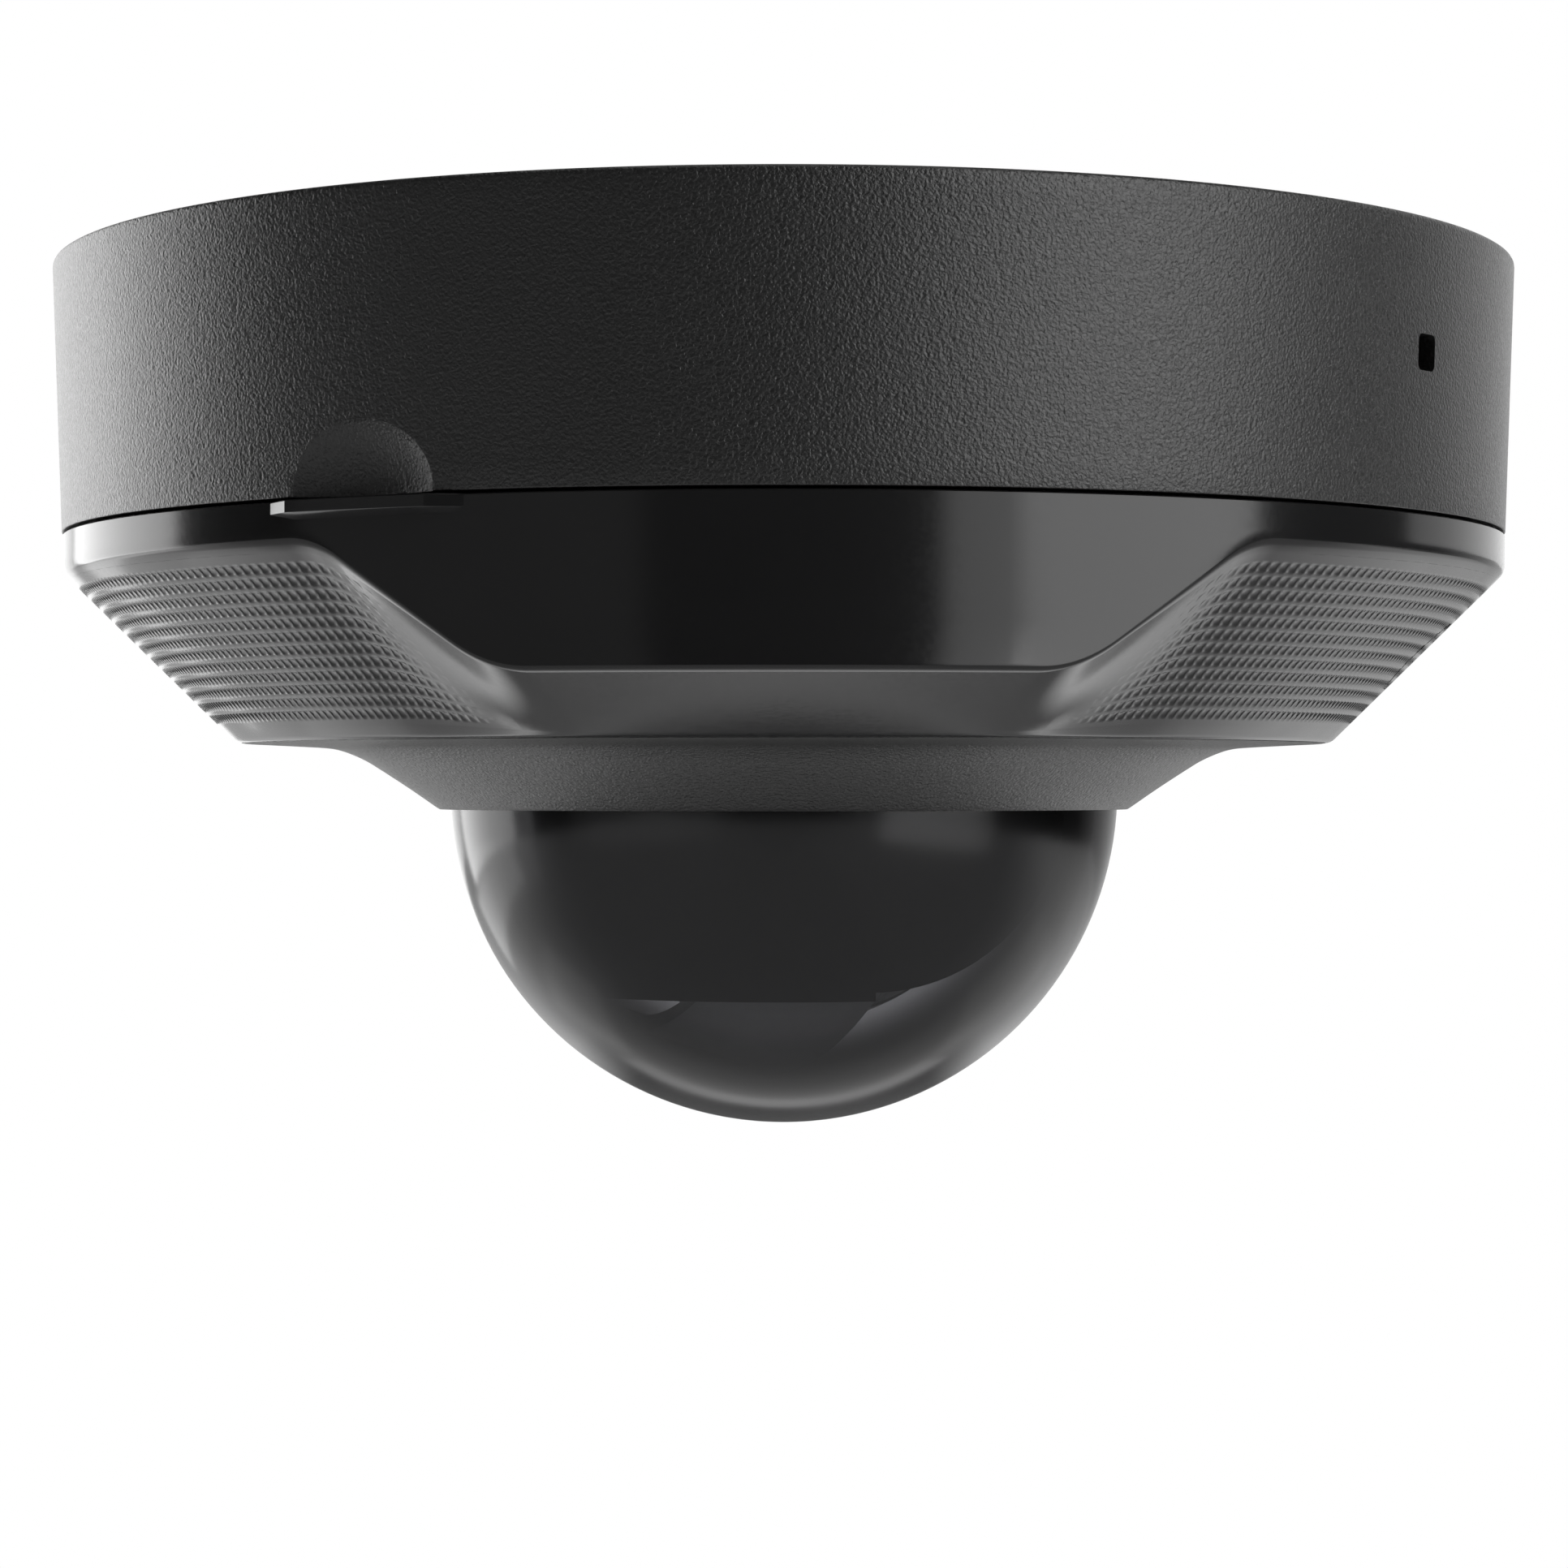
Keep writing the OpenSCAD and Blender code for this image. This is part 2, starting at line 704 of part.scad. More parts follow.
module shroud_outline() {
    mid_x = shroud_half_w - shroud_corner_r;
    translate([0, -1, 0]) rotate([90, 0, 0]) {
        translate([-shroud_r - 1, -shroud_depth, 0])
            cube([shroud_r + 1 + mid_x, shroud_depth - pan_flange_low, shroud_r]);
        translate([mid_x - 1, -dome_mid - 0.7, 0])
            cube([shroud_corner_r + 1, dome_mid + 0.7 - pan_flange_low, shroud_r]);
        intersection() {
            translate([mid_x, -dome_mid - 0.7, 0]) cylinder(r = shroud_corner_r, h = shroud_r);
            translate([mid_x - 1, -shroud_depth, 0])
                cube([shroud_corner_r + 1, shroud_depth - pan_flange_low, shroud_r]);
        }
    }
}

// ---- tilt unit ----

// Ring around the lens axis with a boss at each pivot.
module tilt_cradle() {
    color([0.14, 0.14, 0.15]) in_tilt() difference() {
        union() {
            lens_ring(cradle_r, roll_r, -cradle_t/2, cradle_t/2);
            for (side = [-1, 1])
                rotate([0, side*90, 0]) translate([0, 0, cradle_r - 1.2])
                    cylinder(r = 2.9, h = 1.9);
        }
        for (side = [-1, 1])
            rotate([0, side*90, 0]) translate([0, 0, roll_r + 0.8]) cylinder(r = 1.2, h = 6);
    }
}

module pivot_screws() {
    color([0.7, 0.7, 0.72]) in_tilt()
        for (side = [-1, 1])
            rotate([0, side*90, 0]) {
                translate([0, 0, roll_r + 1]) cylinder(r = 1.15, h = cradle_r - roll_r - 0.3 + eps);
                translate([0, 0, cradle_r + 0.7]) cylinder(r = pivot_r - run_gap, h = arm_t + 0.3);
                translate([0, 0, arm_out + 0.15]) cylinder(r = 3.2, h = 0.9);
            }
}

// ---- roll unit ----

// Rear shell with the grip belt carried on a web, and a slit for the ribbon cable.
module camera_shell() {
    color([0.07, 0.07, 0.075]) in_roll() difference() {
        union() {
            rear_cap();
            grip_belt();
        }
        intersection() {
            sphere(r = shell_r - shell_t);
            lens_bar(shell_r - 3.4, -shell_r, 0);
        }
        rotate([0, -roll_rest, 0]) translate([ribbon_side - 3.5, -shell_r, -1.1])
            cube([7, 6, 1.3]);
    }
}

module rear_cap() {
    intersection() {
        sphere(r = shell_r);
        lens_bar(shell_r + 1, -shell_r - 1, -rear_shell_start);
    }
}

// Hoop around the camera, open at the lens, on a thin web from the rear shell.
module grip_belt() {
    difference() {
        rotate([0, 90, 0]) translate([0, 0, -belt_w/2]) difference() {
            cylinder(r = belt_r, h = belt_w);
            translate([0, 0, -1]) cylinder(r = belt_r - belt_t, h = belt_w + 2);
        }
        translate([-belt_w, front_shell_end, -belt_r]) cube([2*belt_w, belt_r, 2*belt_r]);
    }
    intersection() {
        rotate([0, 90, 0]) translate([0, 0, -1.5]) difference() {
            cylinder(r = belt_r - 0.5, h = 3);
            translate([0, 0, -1]) cylinder(r = shell_r - 0.6, h = 5);
        }
        lens_bar(belt_r + 1, -belt_r - 1, -rear_shell_start);
    }
}

// Bearing that turns in the cradle, with a flange each side.
module roll_journal() {
    color([0.2, 0.2, 0.21]) in_roll() {
        lens_ring(journal_r, journal_inner_r, -cradle_t/2 - 0.3, cradle_t/2 + 0.3);
        lens_ring(journal_r + 1.6, journal_inner_r, -rear_shell_start, -cradle_t/2 - 0.3 + eps);
    }
}

module front_shell() {
    color([0.07, 0.07, 0.075]) in_roll() difference() {
        intersection() {
            sphere(r = shell_r);
            lens_bar(shell_r + 1, front_shell_start, front_shell_end);
        }
        intersection() {
            sphere(r = shell_r - 1.8);
            lens_bar(shell_r, front_shell_start - 1, front_shell_end - 1.8);
        }
        lens_bar(holder_r + 0.3, 0, front_shell_end + 1);
    }
    color([0.07, 0.07, 0.075]) in_roll()
        lens_ring(shell_r - 1.2, journal_inner_r, front_shell_start, front_shell_start + 0.7);
}

module sensor_board() {
    color([0.05, 0.32, 0.16]) in_roll()
        translate([-11, sensor_back - 1.2, -11]) cube([22, 1.2, 22]);
}

module image_sensor() {
    color([0.25, 0.22, 0.3]) in_roll() translate([-5, sensor_back, -4]) cube([10, 1.4, 8]);
}

module infrared_filter() {
    color([0.5, 0.15, 0.2]) in_roll()
        translate([-4.4, sensor_back + 2.4, -4.4]) cube([8.8, filter_t, 8.8]);
}

module lens_holder() {
    color([0.06, 0.06, 0.06]) in_roll() difference() {
        union() {
            translate([-9, sensor_back, -9]) cube([18, 3.6, 18]);
            lens_bar(holder_r, sensor_back + 3.6 - eps, 15);
        }
        lens_bar(barrel_r - 0.5, sensor_back + 3, 16);
        lens_bar(barrel_r, sensor_back + 5, 16);
        translate([-6, sensor_back - 1, -5]) cube([12, 3.4, 10]);
        translate([-4.4, sensor_back, -4.4]) cube([8.8, 3.6 + 1, 8.8]);
    }
}

module lens_barrel() {
    color([0.04, 0.04, 0.045]) in_roll() difference() {
        union() {
            lens_bar(barrel_r, sensor_back + 5.2, focus_at + focus_w + 0.6);
            lens_bar(barrel_r + 1.5, focus_at + focus_w + 0.6 - eps, lens_front);
            lens_bar(barrel_r + 1.5, focus_at - 2.2, focus_at - 0.3);
        }
        lens_bar(barrel_r - 1.2, sensor_back, lens_front - 3);
        lens_bar(lens_r, lens_front - 4, lens_front + 1);
    }
}

// Front element of the lens, domed outwards.
module lens_glass() {
    dome = 14;
    color([0.3, 0.35, 0.55, 0.5]) in_roll() intersection() {
        lens_bar(lens_r, lens_front - 3, lens_front);
        translate([0, lens_front - dome, 0]) sphere(r = dome);
    }
}

module focus_ring() {
    teeth = 36;
    color([0.1, 0.1, 0.1]) in_roll() difference() {
        lens_ring(focus_r, barrel_r + run_gap, focus_at, focus_at + focus_w);
        for (i = [0:teeth - 1])
            rotate([0, i*360/teeth, 0]) translate([focus_r, focus_at - 1, 0])
                rotate([-90, 0, 0]) cylinder(r = 0.3, h = focus_w + 2, $fn = 16);
    }
}

// ---- cover unit ----

// Smooth cover: band, sloping sides, upright panels at front and back, upstand and pull lip.
module cover() {
    color([0.1, 0.1, 0.105]) difference() {
        union() {
            difference() {
                cover_solid(0);
                cover_solid(cover_wall_t);
            }
            ring(upstand_r, upstand_in_r, upstand_top, cover_top + 1.6);
            ring(upstand_r + 0.8, upstand_in_r, cover_top + 0.9, cover_top + 2.2);
            cover_ledge();
            pull_lip();
        }
        bar(collar_r + 0.1, cover_ledge_low, cover_low + 1);
        bar(clamp_seat_r + 0.3, cover_ledge_top - 1, cover_ledge_low + 1);
        plug_shape(plug_r + run_gap, 3);
    }
}

// The outside of the cover drawn in by a wall. Drawn in, it also runs past its open top.
module cover_solid(inset) {
    over = inset > 0 ? 1 : 0;
    slope = panel_drop/(seam_r - panel_draft - panel_edge_r);
    rise = inset*sqrt(1 + slope*slope) - inset*slope;
    r = seam_r - inset;
    difference() {
        rotate_extrude($fn = 128) polygon([
            [0, over - cover_top], [r, over - cover_top], [r - panel_draft, rise - panel_low],
            [r - panel_draft - (panel_drop + rise)/slope, -cover_low], [0, -cover_low]]);
        difference() {
            side_cut(inset);
            panel_prism(inset);
        }
    }
}

// What the sloping sides take away outside their cone.
module side_cut(inset) {
    slope = (side_r - cover_edge_r)/(cover_low - band_low);
    lean = sqrt(1 + slope*slope);
    low_r = cover_edge_r - inset*lean;
    top = band_low - inset*(lean - 1)/slope;
    rotate_extrude($fn = 128) polygon([
        [low_r + slope*(cover_low - top), -top], [base_r + 5, -top],
        [base_r + 5, -cover_low - 1], [low_r - slope, -cover_low - 1]]);
}

// Front-to-back bar whose outline is the front panel.
module panel_prism(inset) {
    slope = (panel_top_half_w - panel_low_half_w)/(panel_low - band_low);
    top_w = panel_low_half_w + slope*(panel_low - cover_top + 1) - inset*1.6;
    low_w = panel_low_half_w - slope*(cover_low - panel_low) - inset*1.6;
    rotate([90, 0, 0]) linear_extrude(height = 2*base_r + 4, center = true) polygon([
        [-top_w, 1 - cover_top], [top_w, 1 - cover_top], [low_w, -cover_low],
        [-low_w, -cover_low]]);
}

module cover_ledge() {
    difference() {
        bar(cover_edge_r + 0.6, cover_ledge_top, cover_ledge_low);
        bar(clamp_seat_r, cover_ledge_top - 1, cover_ledge_low + 1);
    }
}

// Small ledge that the thumb pulls on, tapered at its ends and underneath.
module pull_lip() {
    out = lip_out + 0.6;
    at_azimuth(scoop_az) translate([0, -seam_r + 0.8, -cover_top - lip_h])
        linear_extrude(height = lip_h) polygon([
            [-lip_w/2, 0], [lip_w/2, 0], [lip_w/2 - out*1.4, -out], [-lip_w/2 + out*1.4, -out]]);
}

// Round plug square to the sloping side.
module plug_shape(r, extra = 0) {
    mid_r = (seam_r + cover_edge_r)/2;
    mid_depth = (band_low + cover_low)/2;
    rotate([0, 0, plug_az]) translate([0, -mid_r, -mid_depth]) rotate([135, 0, 0])
        translate([0, 0, -plug_l - extra]) cylinder(r = r, h = plug_l + 2*extra);
}

module service_plug() {
    color([0.08, 0.08, 0.085]) plug_shape(plug_r);
}

// Textured collar from the edge of the cover in to the dome.
module dome_collar() {
    flat_low = cover_low + collar_flat_drop;
    fillet_x = collar_flat_r - 4.7;
    fillet_low = flat_low + 1.7;
    color([0.09, 0.09, 0.1]) difference() {
        rotate_extrude($fn = 128) polygon([
            [collar_r, -cover_ledge_low], [collar_r, -cover_low - 0.05],
            [collar_flat_r, -flat_low], [fillet_x + 2, -flat_low - 0.35],
            [fillet_x, -fillet_low], [collar_low_r, -collar_low],
            [dome_r + 0.3, -collar_low], [dome_r + 0.3, -flange_low],
            [flange_r + 0.3, -flange_low], [flange_r + 0.3, -clamp_low],
            [clamp_seat_r, -clamp_low], [clamp_seat_r, -cover_ledge_low]]);
        for (i = [0:clamp_screws - 1])
            at_azimuth(i*360/clamp_screws, clamp_screw_dist) bar(0.9, clamp_low - 1, clamp_low + 2);
    }
}

// Clear hanging dome with its flange.
module dome_window() {
    color([0.25, 0.26, 0.28, 0.4]) difference() {
        union() {
            translate([0, 0, -dome_mid]) sphere(r = dome_r, $fn = 128);
            bar(dome_r, flange_top, dome_mid);
            bar(flange_r, flange_top, flange_low);
        }
        translate([0, 0, -dome_mid]) sphere(r = dome_r - dome_t, $fn = 128);
        bar(dome_r - dome_t, flange_top - dome_r, dome_mid);
        bar(dome_r + 1, flange_top - dome_r, flange_top);
    }
}

module dome_gasket() {
    color([0.06, 0.06, 0.06]) ring(flange_r, dome_r + 0.9, clamp_low, flange_top);
}

// Ring that clamps the dome, and the ledge of the cover, onto the collar.
module dome_clamp() {
    top = clamp_low - clamp_t;
    color([0.15, 0.15, 0.16]) difference() {
        union() {
            ring(clamp_seat_r, dome_r + 0.9, top, clamp_low);
            ring(clamp_seat_r + 2, clamp_seat_r - 1.2, cover_ledge_top - 1.5, cover_ledge_top);
        }
        for (i = [0:clamp_screws - 1])
            at_azimuth(i*360/clamp_screws, clamp_screw_dist) bar(1.1, top - 1, clamp_low + 1);
    }
}

module clamp_screws_set() {
    top = clamp_low - clamp_t;
    color([0.7, 0.7, 0.72])
        for (i = [0:clamp_screws - 1])
            at_azimuth(i*360/clamp_screws, clamp_screw_dist) {
                bar(0.85, top - eps, clamp_low + 1.8);
                bar(1.8, top - 1.2, top);
            }
}

// ---- output ----

mounting_plate();
ceiling_gasket();
base_housing();
cable_grommet();
latch_keeper();
release_latch();
latch_spring();
main_board();
board_screws();
heat_sink();
thermal_pad();
processor();
network_jack();
terminal_block();
card_slot();
memory_card();
reset_switch();
reset_button();
status_light();
ribbon_connector();
ribbon_cable();
chassis_plate();
brass_inserts();
chassis_screws();
cover_springs();
cover_gasket();
pan_ring();
pan_retainer();
retainer_screws();
pan_lock_screw();
shroud();
tilt_cradle();
pivot_screws();
camera_shell();
roll_journal();
front_shell();
sensor_board();
image_sensor();
infrared_filter();
lens_holder();
lens_barrel();
lens_glass();
focus_ring();
cover();
dome_collar();
dome_window();
dome_gasket();
dome_clamp();
clamp_screws_set();
service_plug();
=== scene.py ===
import math

import bpy
import numpy as np
from mathutils import Matrix, Vector


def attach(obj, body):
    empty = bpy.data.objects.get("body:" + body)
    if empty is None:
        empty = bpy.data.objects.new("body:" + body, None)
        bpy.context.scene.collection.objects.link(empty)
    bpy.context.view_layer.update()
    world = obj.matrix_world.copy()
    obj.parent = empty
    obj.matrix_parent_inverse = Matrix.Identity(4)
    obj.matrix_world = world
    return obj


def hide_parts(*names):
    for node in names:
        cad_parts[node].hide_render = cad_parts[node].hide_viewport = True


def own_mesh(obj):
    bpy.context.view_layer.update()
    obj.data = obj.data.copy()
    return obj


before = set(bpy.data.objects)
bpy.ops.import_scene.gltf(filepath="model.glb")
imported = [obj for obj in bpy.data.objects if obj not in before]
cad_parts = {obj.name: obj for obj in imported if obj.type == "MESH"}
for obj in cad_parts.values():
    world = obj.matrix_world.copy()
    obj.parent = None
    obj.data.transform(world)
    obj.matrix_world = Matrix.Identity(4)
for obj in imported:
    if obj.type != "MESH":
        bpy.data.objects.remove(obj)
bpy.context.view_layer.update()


# ---- Studio ----
# The camera stands level with the middle of the dome, a little over a third of a metre in
# front of it, as one looks at a ceiling camera from a step ladder.
MM = 0.001

camera_data = bpy.data.cameras.new("camera")
camera_data.lens = 86.33
camera_data.sensor_width = 36
camera_data.shift_x = 0.0003
camera_data.shift_y = 0.0009
camera_data.clip_start = 0.01
camera = bpy.data.objects.new("camera", camera_data)
camera.location = (0, -0.34584, -0.04633)
camera.rotation_euler = (math.pi/2, 0, 0)
bpy.context.collection.objects.link(camera)
bpy.context.scene.camera = camera
bpy.context.scene.view_settings.view_transform = "Standard"


# Soft boxes stand round it: bright ones behind at the left, a broad one at the front right,
# and weak ones behind at the right, at the front left, above and below. Low strips light the
# dome and the lower edges. It is dark between them, so that the black keeps its shape.
AIM = Vector((0, 0, -0.03))
WATTS = 4


def soft_box(name, azimuth, elevation, away, size, strength):
    """An area lamp of size (width, height) in metres that faces the object, with its place
    as an azimuth from the front towards +X, an elevation and a distance in metres. Its
    strength is in units of WATTS to the square metre."""
    a, e = math.radians(azimuth), math.radians(elevation)
    lamp = bpy.data.lights.new(name, "AREA")
    lamp.shape = "RECTANGLE"
    lamp.size, lamp.size_y = size
    lamp.energy = strength*WATTS*size[0]*size[1]
    box = bpy.data.objects.new(name, lamp)
    out = Vector((math.cos(e)*math.sin(a), -math.cos(e)*math.cos(a), math.sin(e)))
    box.location = AIM + away*out
    box.rotation_euler = (-out).to_track_quat("-Z", "Y").to_euler()
    box.visible_camera = False
    bpy.context.collection.objects.link(box)
    return box


soft_box("left_box", -124, 6, 0.95, (0.72, 0.62), 2.6)
soft_box("left_low_box", -128, -17, 0.95, (0.72, 0.14), 0.95)
soft_box("left_back_box", -163, 10, 1.0, (0.56, 0.62), 0.92)
soft_box("front_right_box", 54, 20, 0.85, (0.62, 0.8), 2.35)
soft_box("front_right_low_box", 54, -12, 0.85, (0.62, 0.2), 0.6)
soft_box("front_edge_box", 29, 20, 0.85, (0.19, 0.8), 1.2)
soft_box("right_back_box", 138, 20, 0.95, (1.1, 0.7), 0.56)
soft_box("front_left_box", -48, 8, 0.95, (1.0, 0.9), 0.12)
soft_box("low_back_box", 180, -47, 0.76, (0.6, 0.12), 0.45)
soft_box("low_left_box", -128, -46, 0.8, (0.36, 0.4), 0.3)
soft_box("low_right_box", 128, -42, 0.8, (0.36, 0.5), 0.15)
soft_box("top_box", 0, 88, 0.8, (0.7, 0.7), 0.55)
under = soft_box("under_box", 0, -89, 0.55, (0.8, 0.8), 1.3)
under.visible_glossy = False

def feed(tree, socket, value):
    """Links a socket to an output, or sets it to a plain value."""
    if isinstance(value, bpy.types.NodeSocket):
        tree.links.new(value, socket)
    else:
        socket.default_value = value


def maths(tree, operation, *values):
    """The result of a Math node whose inputs are outputs or numbers."""
    node = tree.nodes.new("ShaderNodeMath")
    node.operation = operation
    for socket, value in zip(node.inputs, values):
        feed(tree, socket, value)
    return node.outputs[0]


def ranged(tree, source, start, end, low, high):
    """A result that goes from low to high as source goes from start to end."""
    node = tree.nodes.new("ShaderNodeMapRange")
    feed(tree, node.inputs["Value"], source)
    feed(tree, node.inputs["From Min"], start)
    feed(tree, node.inputs["From Max"], end)
    feed(tree, node.inputs["To Min"], low)
    feed(tree, node.inputs["To Max"], high)
    return node.outputs["Result"]


def rays_and_place(tree, space):
    """Whether the eye sees the point, also through glass, the kinds of ray, and its place."""
    path = tree.nodes.new("ShaderNodeLightPath").outputs
    seen = maths(tree, "MAXIMUM", path["Is Camera Ray"], path["Is Transmission Ray"])
    place = tree.nodes.new("ShaderNodeTexCoord")
    apart = tree.nodes.new("ShaderNodeSeparateXYZ")
    feed(tree, apart.inputs[0], place.outputs[space])
    return seen, path, apart.outputs


# The backdrop is white to the eye. What it lends to gloss is full only behind the object.
world = bpy.data.worlds.new("room")
bpy.context.scene.world = world
world.use_nodes = True
tree = world.node_tree
tree.nodes.clear()
seen, path, at = rays_and_place(tree, "Generated")
behind = ranged(tree, at["Y"], 0.5, 0.95, 0.04, 0.6)
white = tree.nodes.new("ShaderNodeBackground")
white.inputs["Color"].default_value = (1, 1, 1, 1)
feed(tree, white.inputs["Strength"], maths(tree, "MAXIMUM", seen, behind))
out = tree.nodes.new("ShaderNodeOutputWorld")
feed(tree, out.inputs[0], white.outputs[0])


def shade(name):
    """A new material with its Principled shader, and its node tree."""
    material = bpy.data.materials.new(name)
    material.use_nodes = True
    return material, material.node_tree, material.node_tree.nodes["Principled BSDF"]


def mixed(tree, share, one, other):
    """Two shaders mixed to the surface, with share 0 for the first and 1 for the other."""
    both = tree.nodes.new("ShaderNodeMixShader")
    for socket, value in zip(both.inputs, (share, one, other)):
        feed(tree, socket, value)
    feed(tree, tree.nodes["Material Output"].inputs[0], both.outputs[0])


# The floor is pale board well below the dome, seen as plain white. Gloss sees it white
# behind the object, and dimmer underneath, far off, and in a dark lane behind its middle.
bpy.ops.object.select_all(action="DESELECT")
bpy.ops.mesh.primitive_plane_add(size=6, location=(0, 0, -0.62))
floor = bpy.context.object
floor.name = "floor"
floor_white, tree, pale = shade("floor_white")
pale.inputs["Base Color"].default_value = (0.8, 0.8, 0.8, 1)
pale.inputs["Roughness"].default_value = 0.8
seen, path, at = rays_and_place(tree, "Object")
behind = ranged(tree, at["Y"], 0.05, 0.52, 0.4, 1.0)
far = ranged(tree, at["Y"], 0.9, 2.2, 1.0, 0.6)
middle = ranged(tree, at["Y"], 0.52, 0.7, 1.15, 0.18)
aside = maths(tree, "ABSOLUTE", at["X"])
wings = ranged(tree, aside, 0.29, 0.46, middle, 1.2)
lent = maths(tree, "MULTIPLY", maths(tree, "MULTIPLY", behind, wings), far)
glow = tree.nodes.new("ShaderNodeEmission")
feed(tree, glow.inputs["Strength"], maths(tree, "MAXIMUM", seen, lent))
glossy = maths(tree, "MAXIMUM", seen, path["Is Glossy Ray"])
mixed(tree, glossy, pale.outputs[0], glow.outputs[0])
floor.data.materials.append(floor_white)


# ---- Mounting plate and ceiling gasket ----
# The plate is stamped from zinc-plated steel and screwed to the ceiling. The gasket is a
# sponge rubber ring that lies between the ceiling and the housing.
def speckle(tree, scale, detail=2.0, stretch=(1, 1, 1)):
    """Noise in object space, with scale in features per millimetre."""
    place = tree.nodes.new("ShaderNodeTexCoord")
    mapping = tree.nodes.new("ShaderNodeMapping")
    mapping.inputs["Scale"].default_value = stretch
    noise = tree.nodes.new("ShaderNodeTexNoise")
    noise.inputs["Scale"].default_value = scale/MM
    noise.inputs["Detail"].default_value = detail
    feed(tree, mapping.inputs["Vector"], place.outputs["Object"])
    feed(tree, noise.inputs["Vector"], mapping.outputs["Vector"])
    return noise


def between(tree, source, low, high, socket, start=0.35, end=0.65):
    """Drives a shader's socket from low to high as source goes from start to end."""
    if isinstance(low, tuple):
        ramp = tree.nodes.new("ShaderNodeValToRGB")
        ramp.color_ramp.elements[0].position = start
        ramp.color_ramp.elements[1].position = end
        ramp.color_ramp.elements[0].color = (*low, 1)
        ramp.color_ramp.elements[1].color = (*high, 1)
        feed(tree, ramp.inputs["Fac"], source)
        feed(tree, socket, ramp.outputs["Color"])
    else:
        feed(tree, socket, ranged(tree, source, start, end, low, high))


def raised(tree, source, shader, height):
    """Bump of a height in millimetres."""
    bump = tree.nodes.new("ShaderNodeBump")
    bump.inputs["Strength"].default_value = 1.0
    bump.inputs["Distance"].default_value = height*MM
    feed(tree, bump.inputs["Height"], source)
    feed(tree, shader.inputs["Normal"], bump.outputs["Normal"])


def finish(name, low, high, rough, scale, height, metallic=0.0, detail=2.0,
           stretch=(1, 1, 1), spot=None):
    """A material whose colour and roughness wander between two values with a fine relief.
    Scale and spot are the features of relief and colour in a millimetre."""
    material, tree, shader = shade(name)
    shader.inputs["Metallic"].default_value = metallic
    broad = speckle(tree, spot or scale/6, 3, stretch)
    between(tree, broad.outputs["Fac"], low, high, shader.inputs["Base Color"])
    fine = speckle(tree, scale, detail, stretch)
    between(tree, fine.outputs["Fac"], rough[0], rough[1], shader.inputs["Roughness"])
    raised(tree, fine.outputs["Fac"], shader, height)
    return material


def dress(material, *nodes):
    """Gives CAD nodes a finish."""
    for node in nodes:
        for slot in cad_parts[node].material_slots:
            slot.material = material


steel = finish("zinc_plated_steel", (0.52, 0.53, 0.55), (0.57, 0.58, 0.60), (0.30, 0.38),
               1.6, 0.002, metallic=1.0, detail=4)
black_rubber = finish("black_rubber", (0.012, 0.012, 0.012), (0.022, 0.022, 0.021),
                      (0.7, 0.9), 3.0, 0.02)
dress(steel, "mounting_plate")
dress(black_rubber, "ceiling_gasket")


# ---- Base housing ----
# One moulding in black polycarbonate with a leather grain outside. A thumb scoop is sunk in
# its lower rim and a slot lets a tool reach the latch. The seam edge is barely rounded.
def drawn_line(name, points):
    """Vertices joined in a line, drawn by extruding from point to point, in millimetres."""
    bpy.ops.object.select_all(action="DESELECT")
    bpy.context.tool_settings.mesh_select_mode = (True, False, False)
    bpy.ops.mesh.primitive_plane_add(size=MM)
    line = bpy.context.object
    line.name = line.data.name = name
    bpy.ops.object.mode_set(mode="EDIT")
    bpy.ops.mesh.select_all(action="SELECT")
    bpy.ops.mesh.merge(type="CENTER")
    bpy.ops.transform.translate(value=Vector(points[0])*MM)
    for here, there in zip(points, points[1:]):
        step = (Vector(there) - Vector(here))*MM
        bpy.ops.mesh.extrude_vertices_move(TRANSFORM_OT_translate={"value": step})
    return line


def turned(name, outline, steps):
    """A piece turned about the upright axis from a closed line of (radius, height) points."""
    points = [(r, 0, z) for r, z in outline]
    piece = drawn_line(name, points + points[:1])
    bpy.ops.mesh.select_all(action="SELECT")
    bpy.ops.mesh.spin(steps=steps, angle=2*math.pi, center=(0, 0, 0), axis=(0, 0, 1))
    bpy.ops.mesh.select_all(action="SELECT")
    bpy.ops.mesh.remove_doubles(threshold=0.002*MM)
    bpy.ops.mesh.normals_make_consistent(inside=False)
    bpy.ops.object.mode_set(mode="OBJECT")
    return piece


def smooth(piece, angle):
    """Shades the piece smooth over edges that turn less than an angle in degrees."""
    bpy.ops.object.select_all(action="DESELECT")
    piece.select_set(True)
    bpy.context.view_layer.objects.active = piece
    bpy.ops.object.shade_smooth_by_angle(angle=math.radians(angle))


def rounded(points, corner, radius, steps=4):
    """The outline with one of its corners, by index, rounded by arc-like steps."""
    before, at, after = (Vector(points[(corner + k) % len(points)]) for k in (-1, 0, 1))
    one = at + (before - at).normalized()*radius
    two = at + (after - at).normalized()*radius
    arc = []
    for i in range(steps + 1):
        t = i/steps
        arc.append(tuple(one*(1 - t)**2 + at*2*t*(1 - t) + two*t*t))
    return points[:corner] + arc + points[corner + 1:]


def cut(piece, tool):
    """Takes the tool out of the piece and throws the tool away."""
    modifier = piece.modifiers.new("cut", "BOOLEAN")
    modifier.operation = "DIFFERENCE"
    modifier.solver = "EXACT"
    modifier.object = tool
    bpy.context.view_layer.objects.active = piece
    bpy.ops.object.modifier_apply(modifier=modifier.name)
    bpy.data.objects.remove(tool)


def at_azimuth(azimuth, distance=0.0, height=0.0):
    """The matrix that stands a piece at an azimuth, facing out along -Y, in metres."""
    return (Matrix.Rotation(math.radians(azimuth), 4, "Z")
            @ Matrix.Translation((0, -distance*MM, height*MM)))


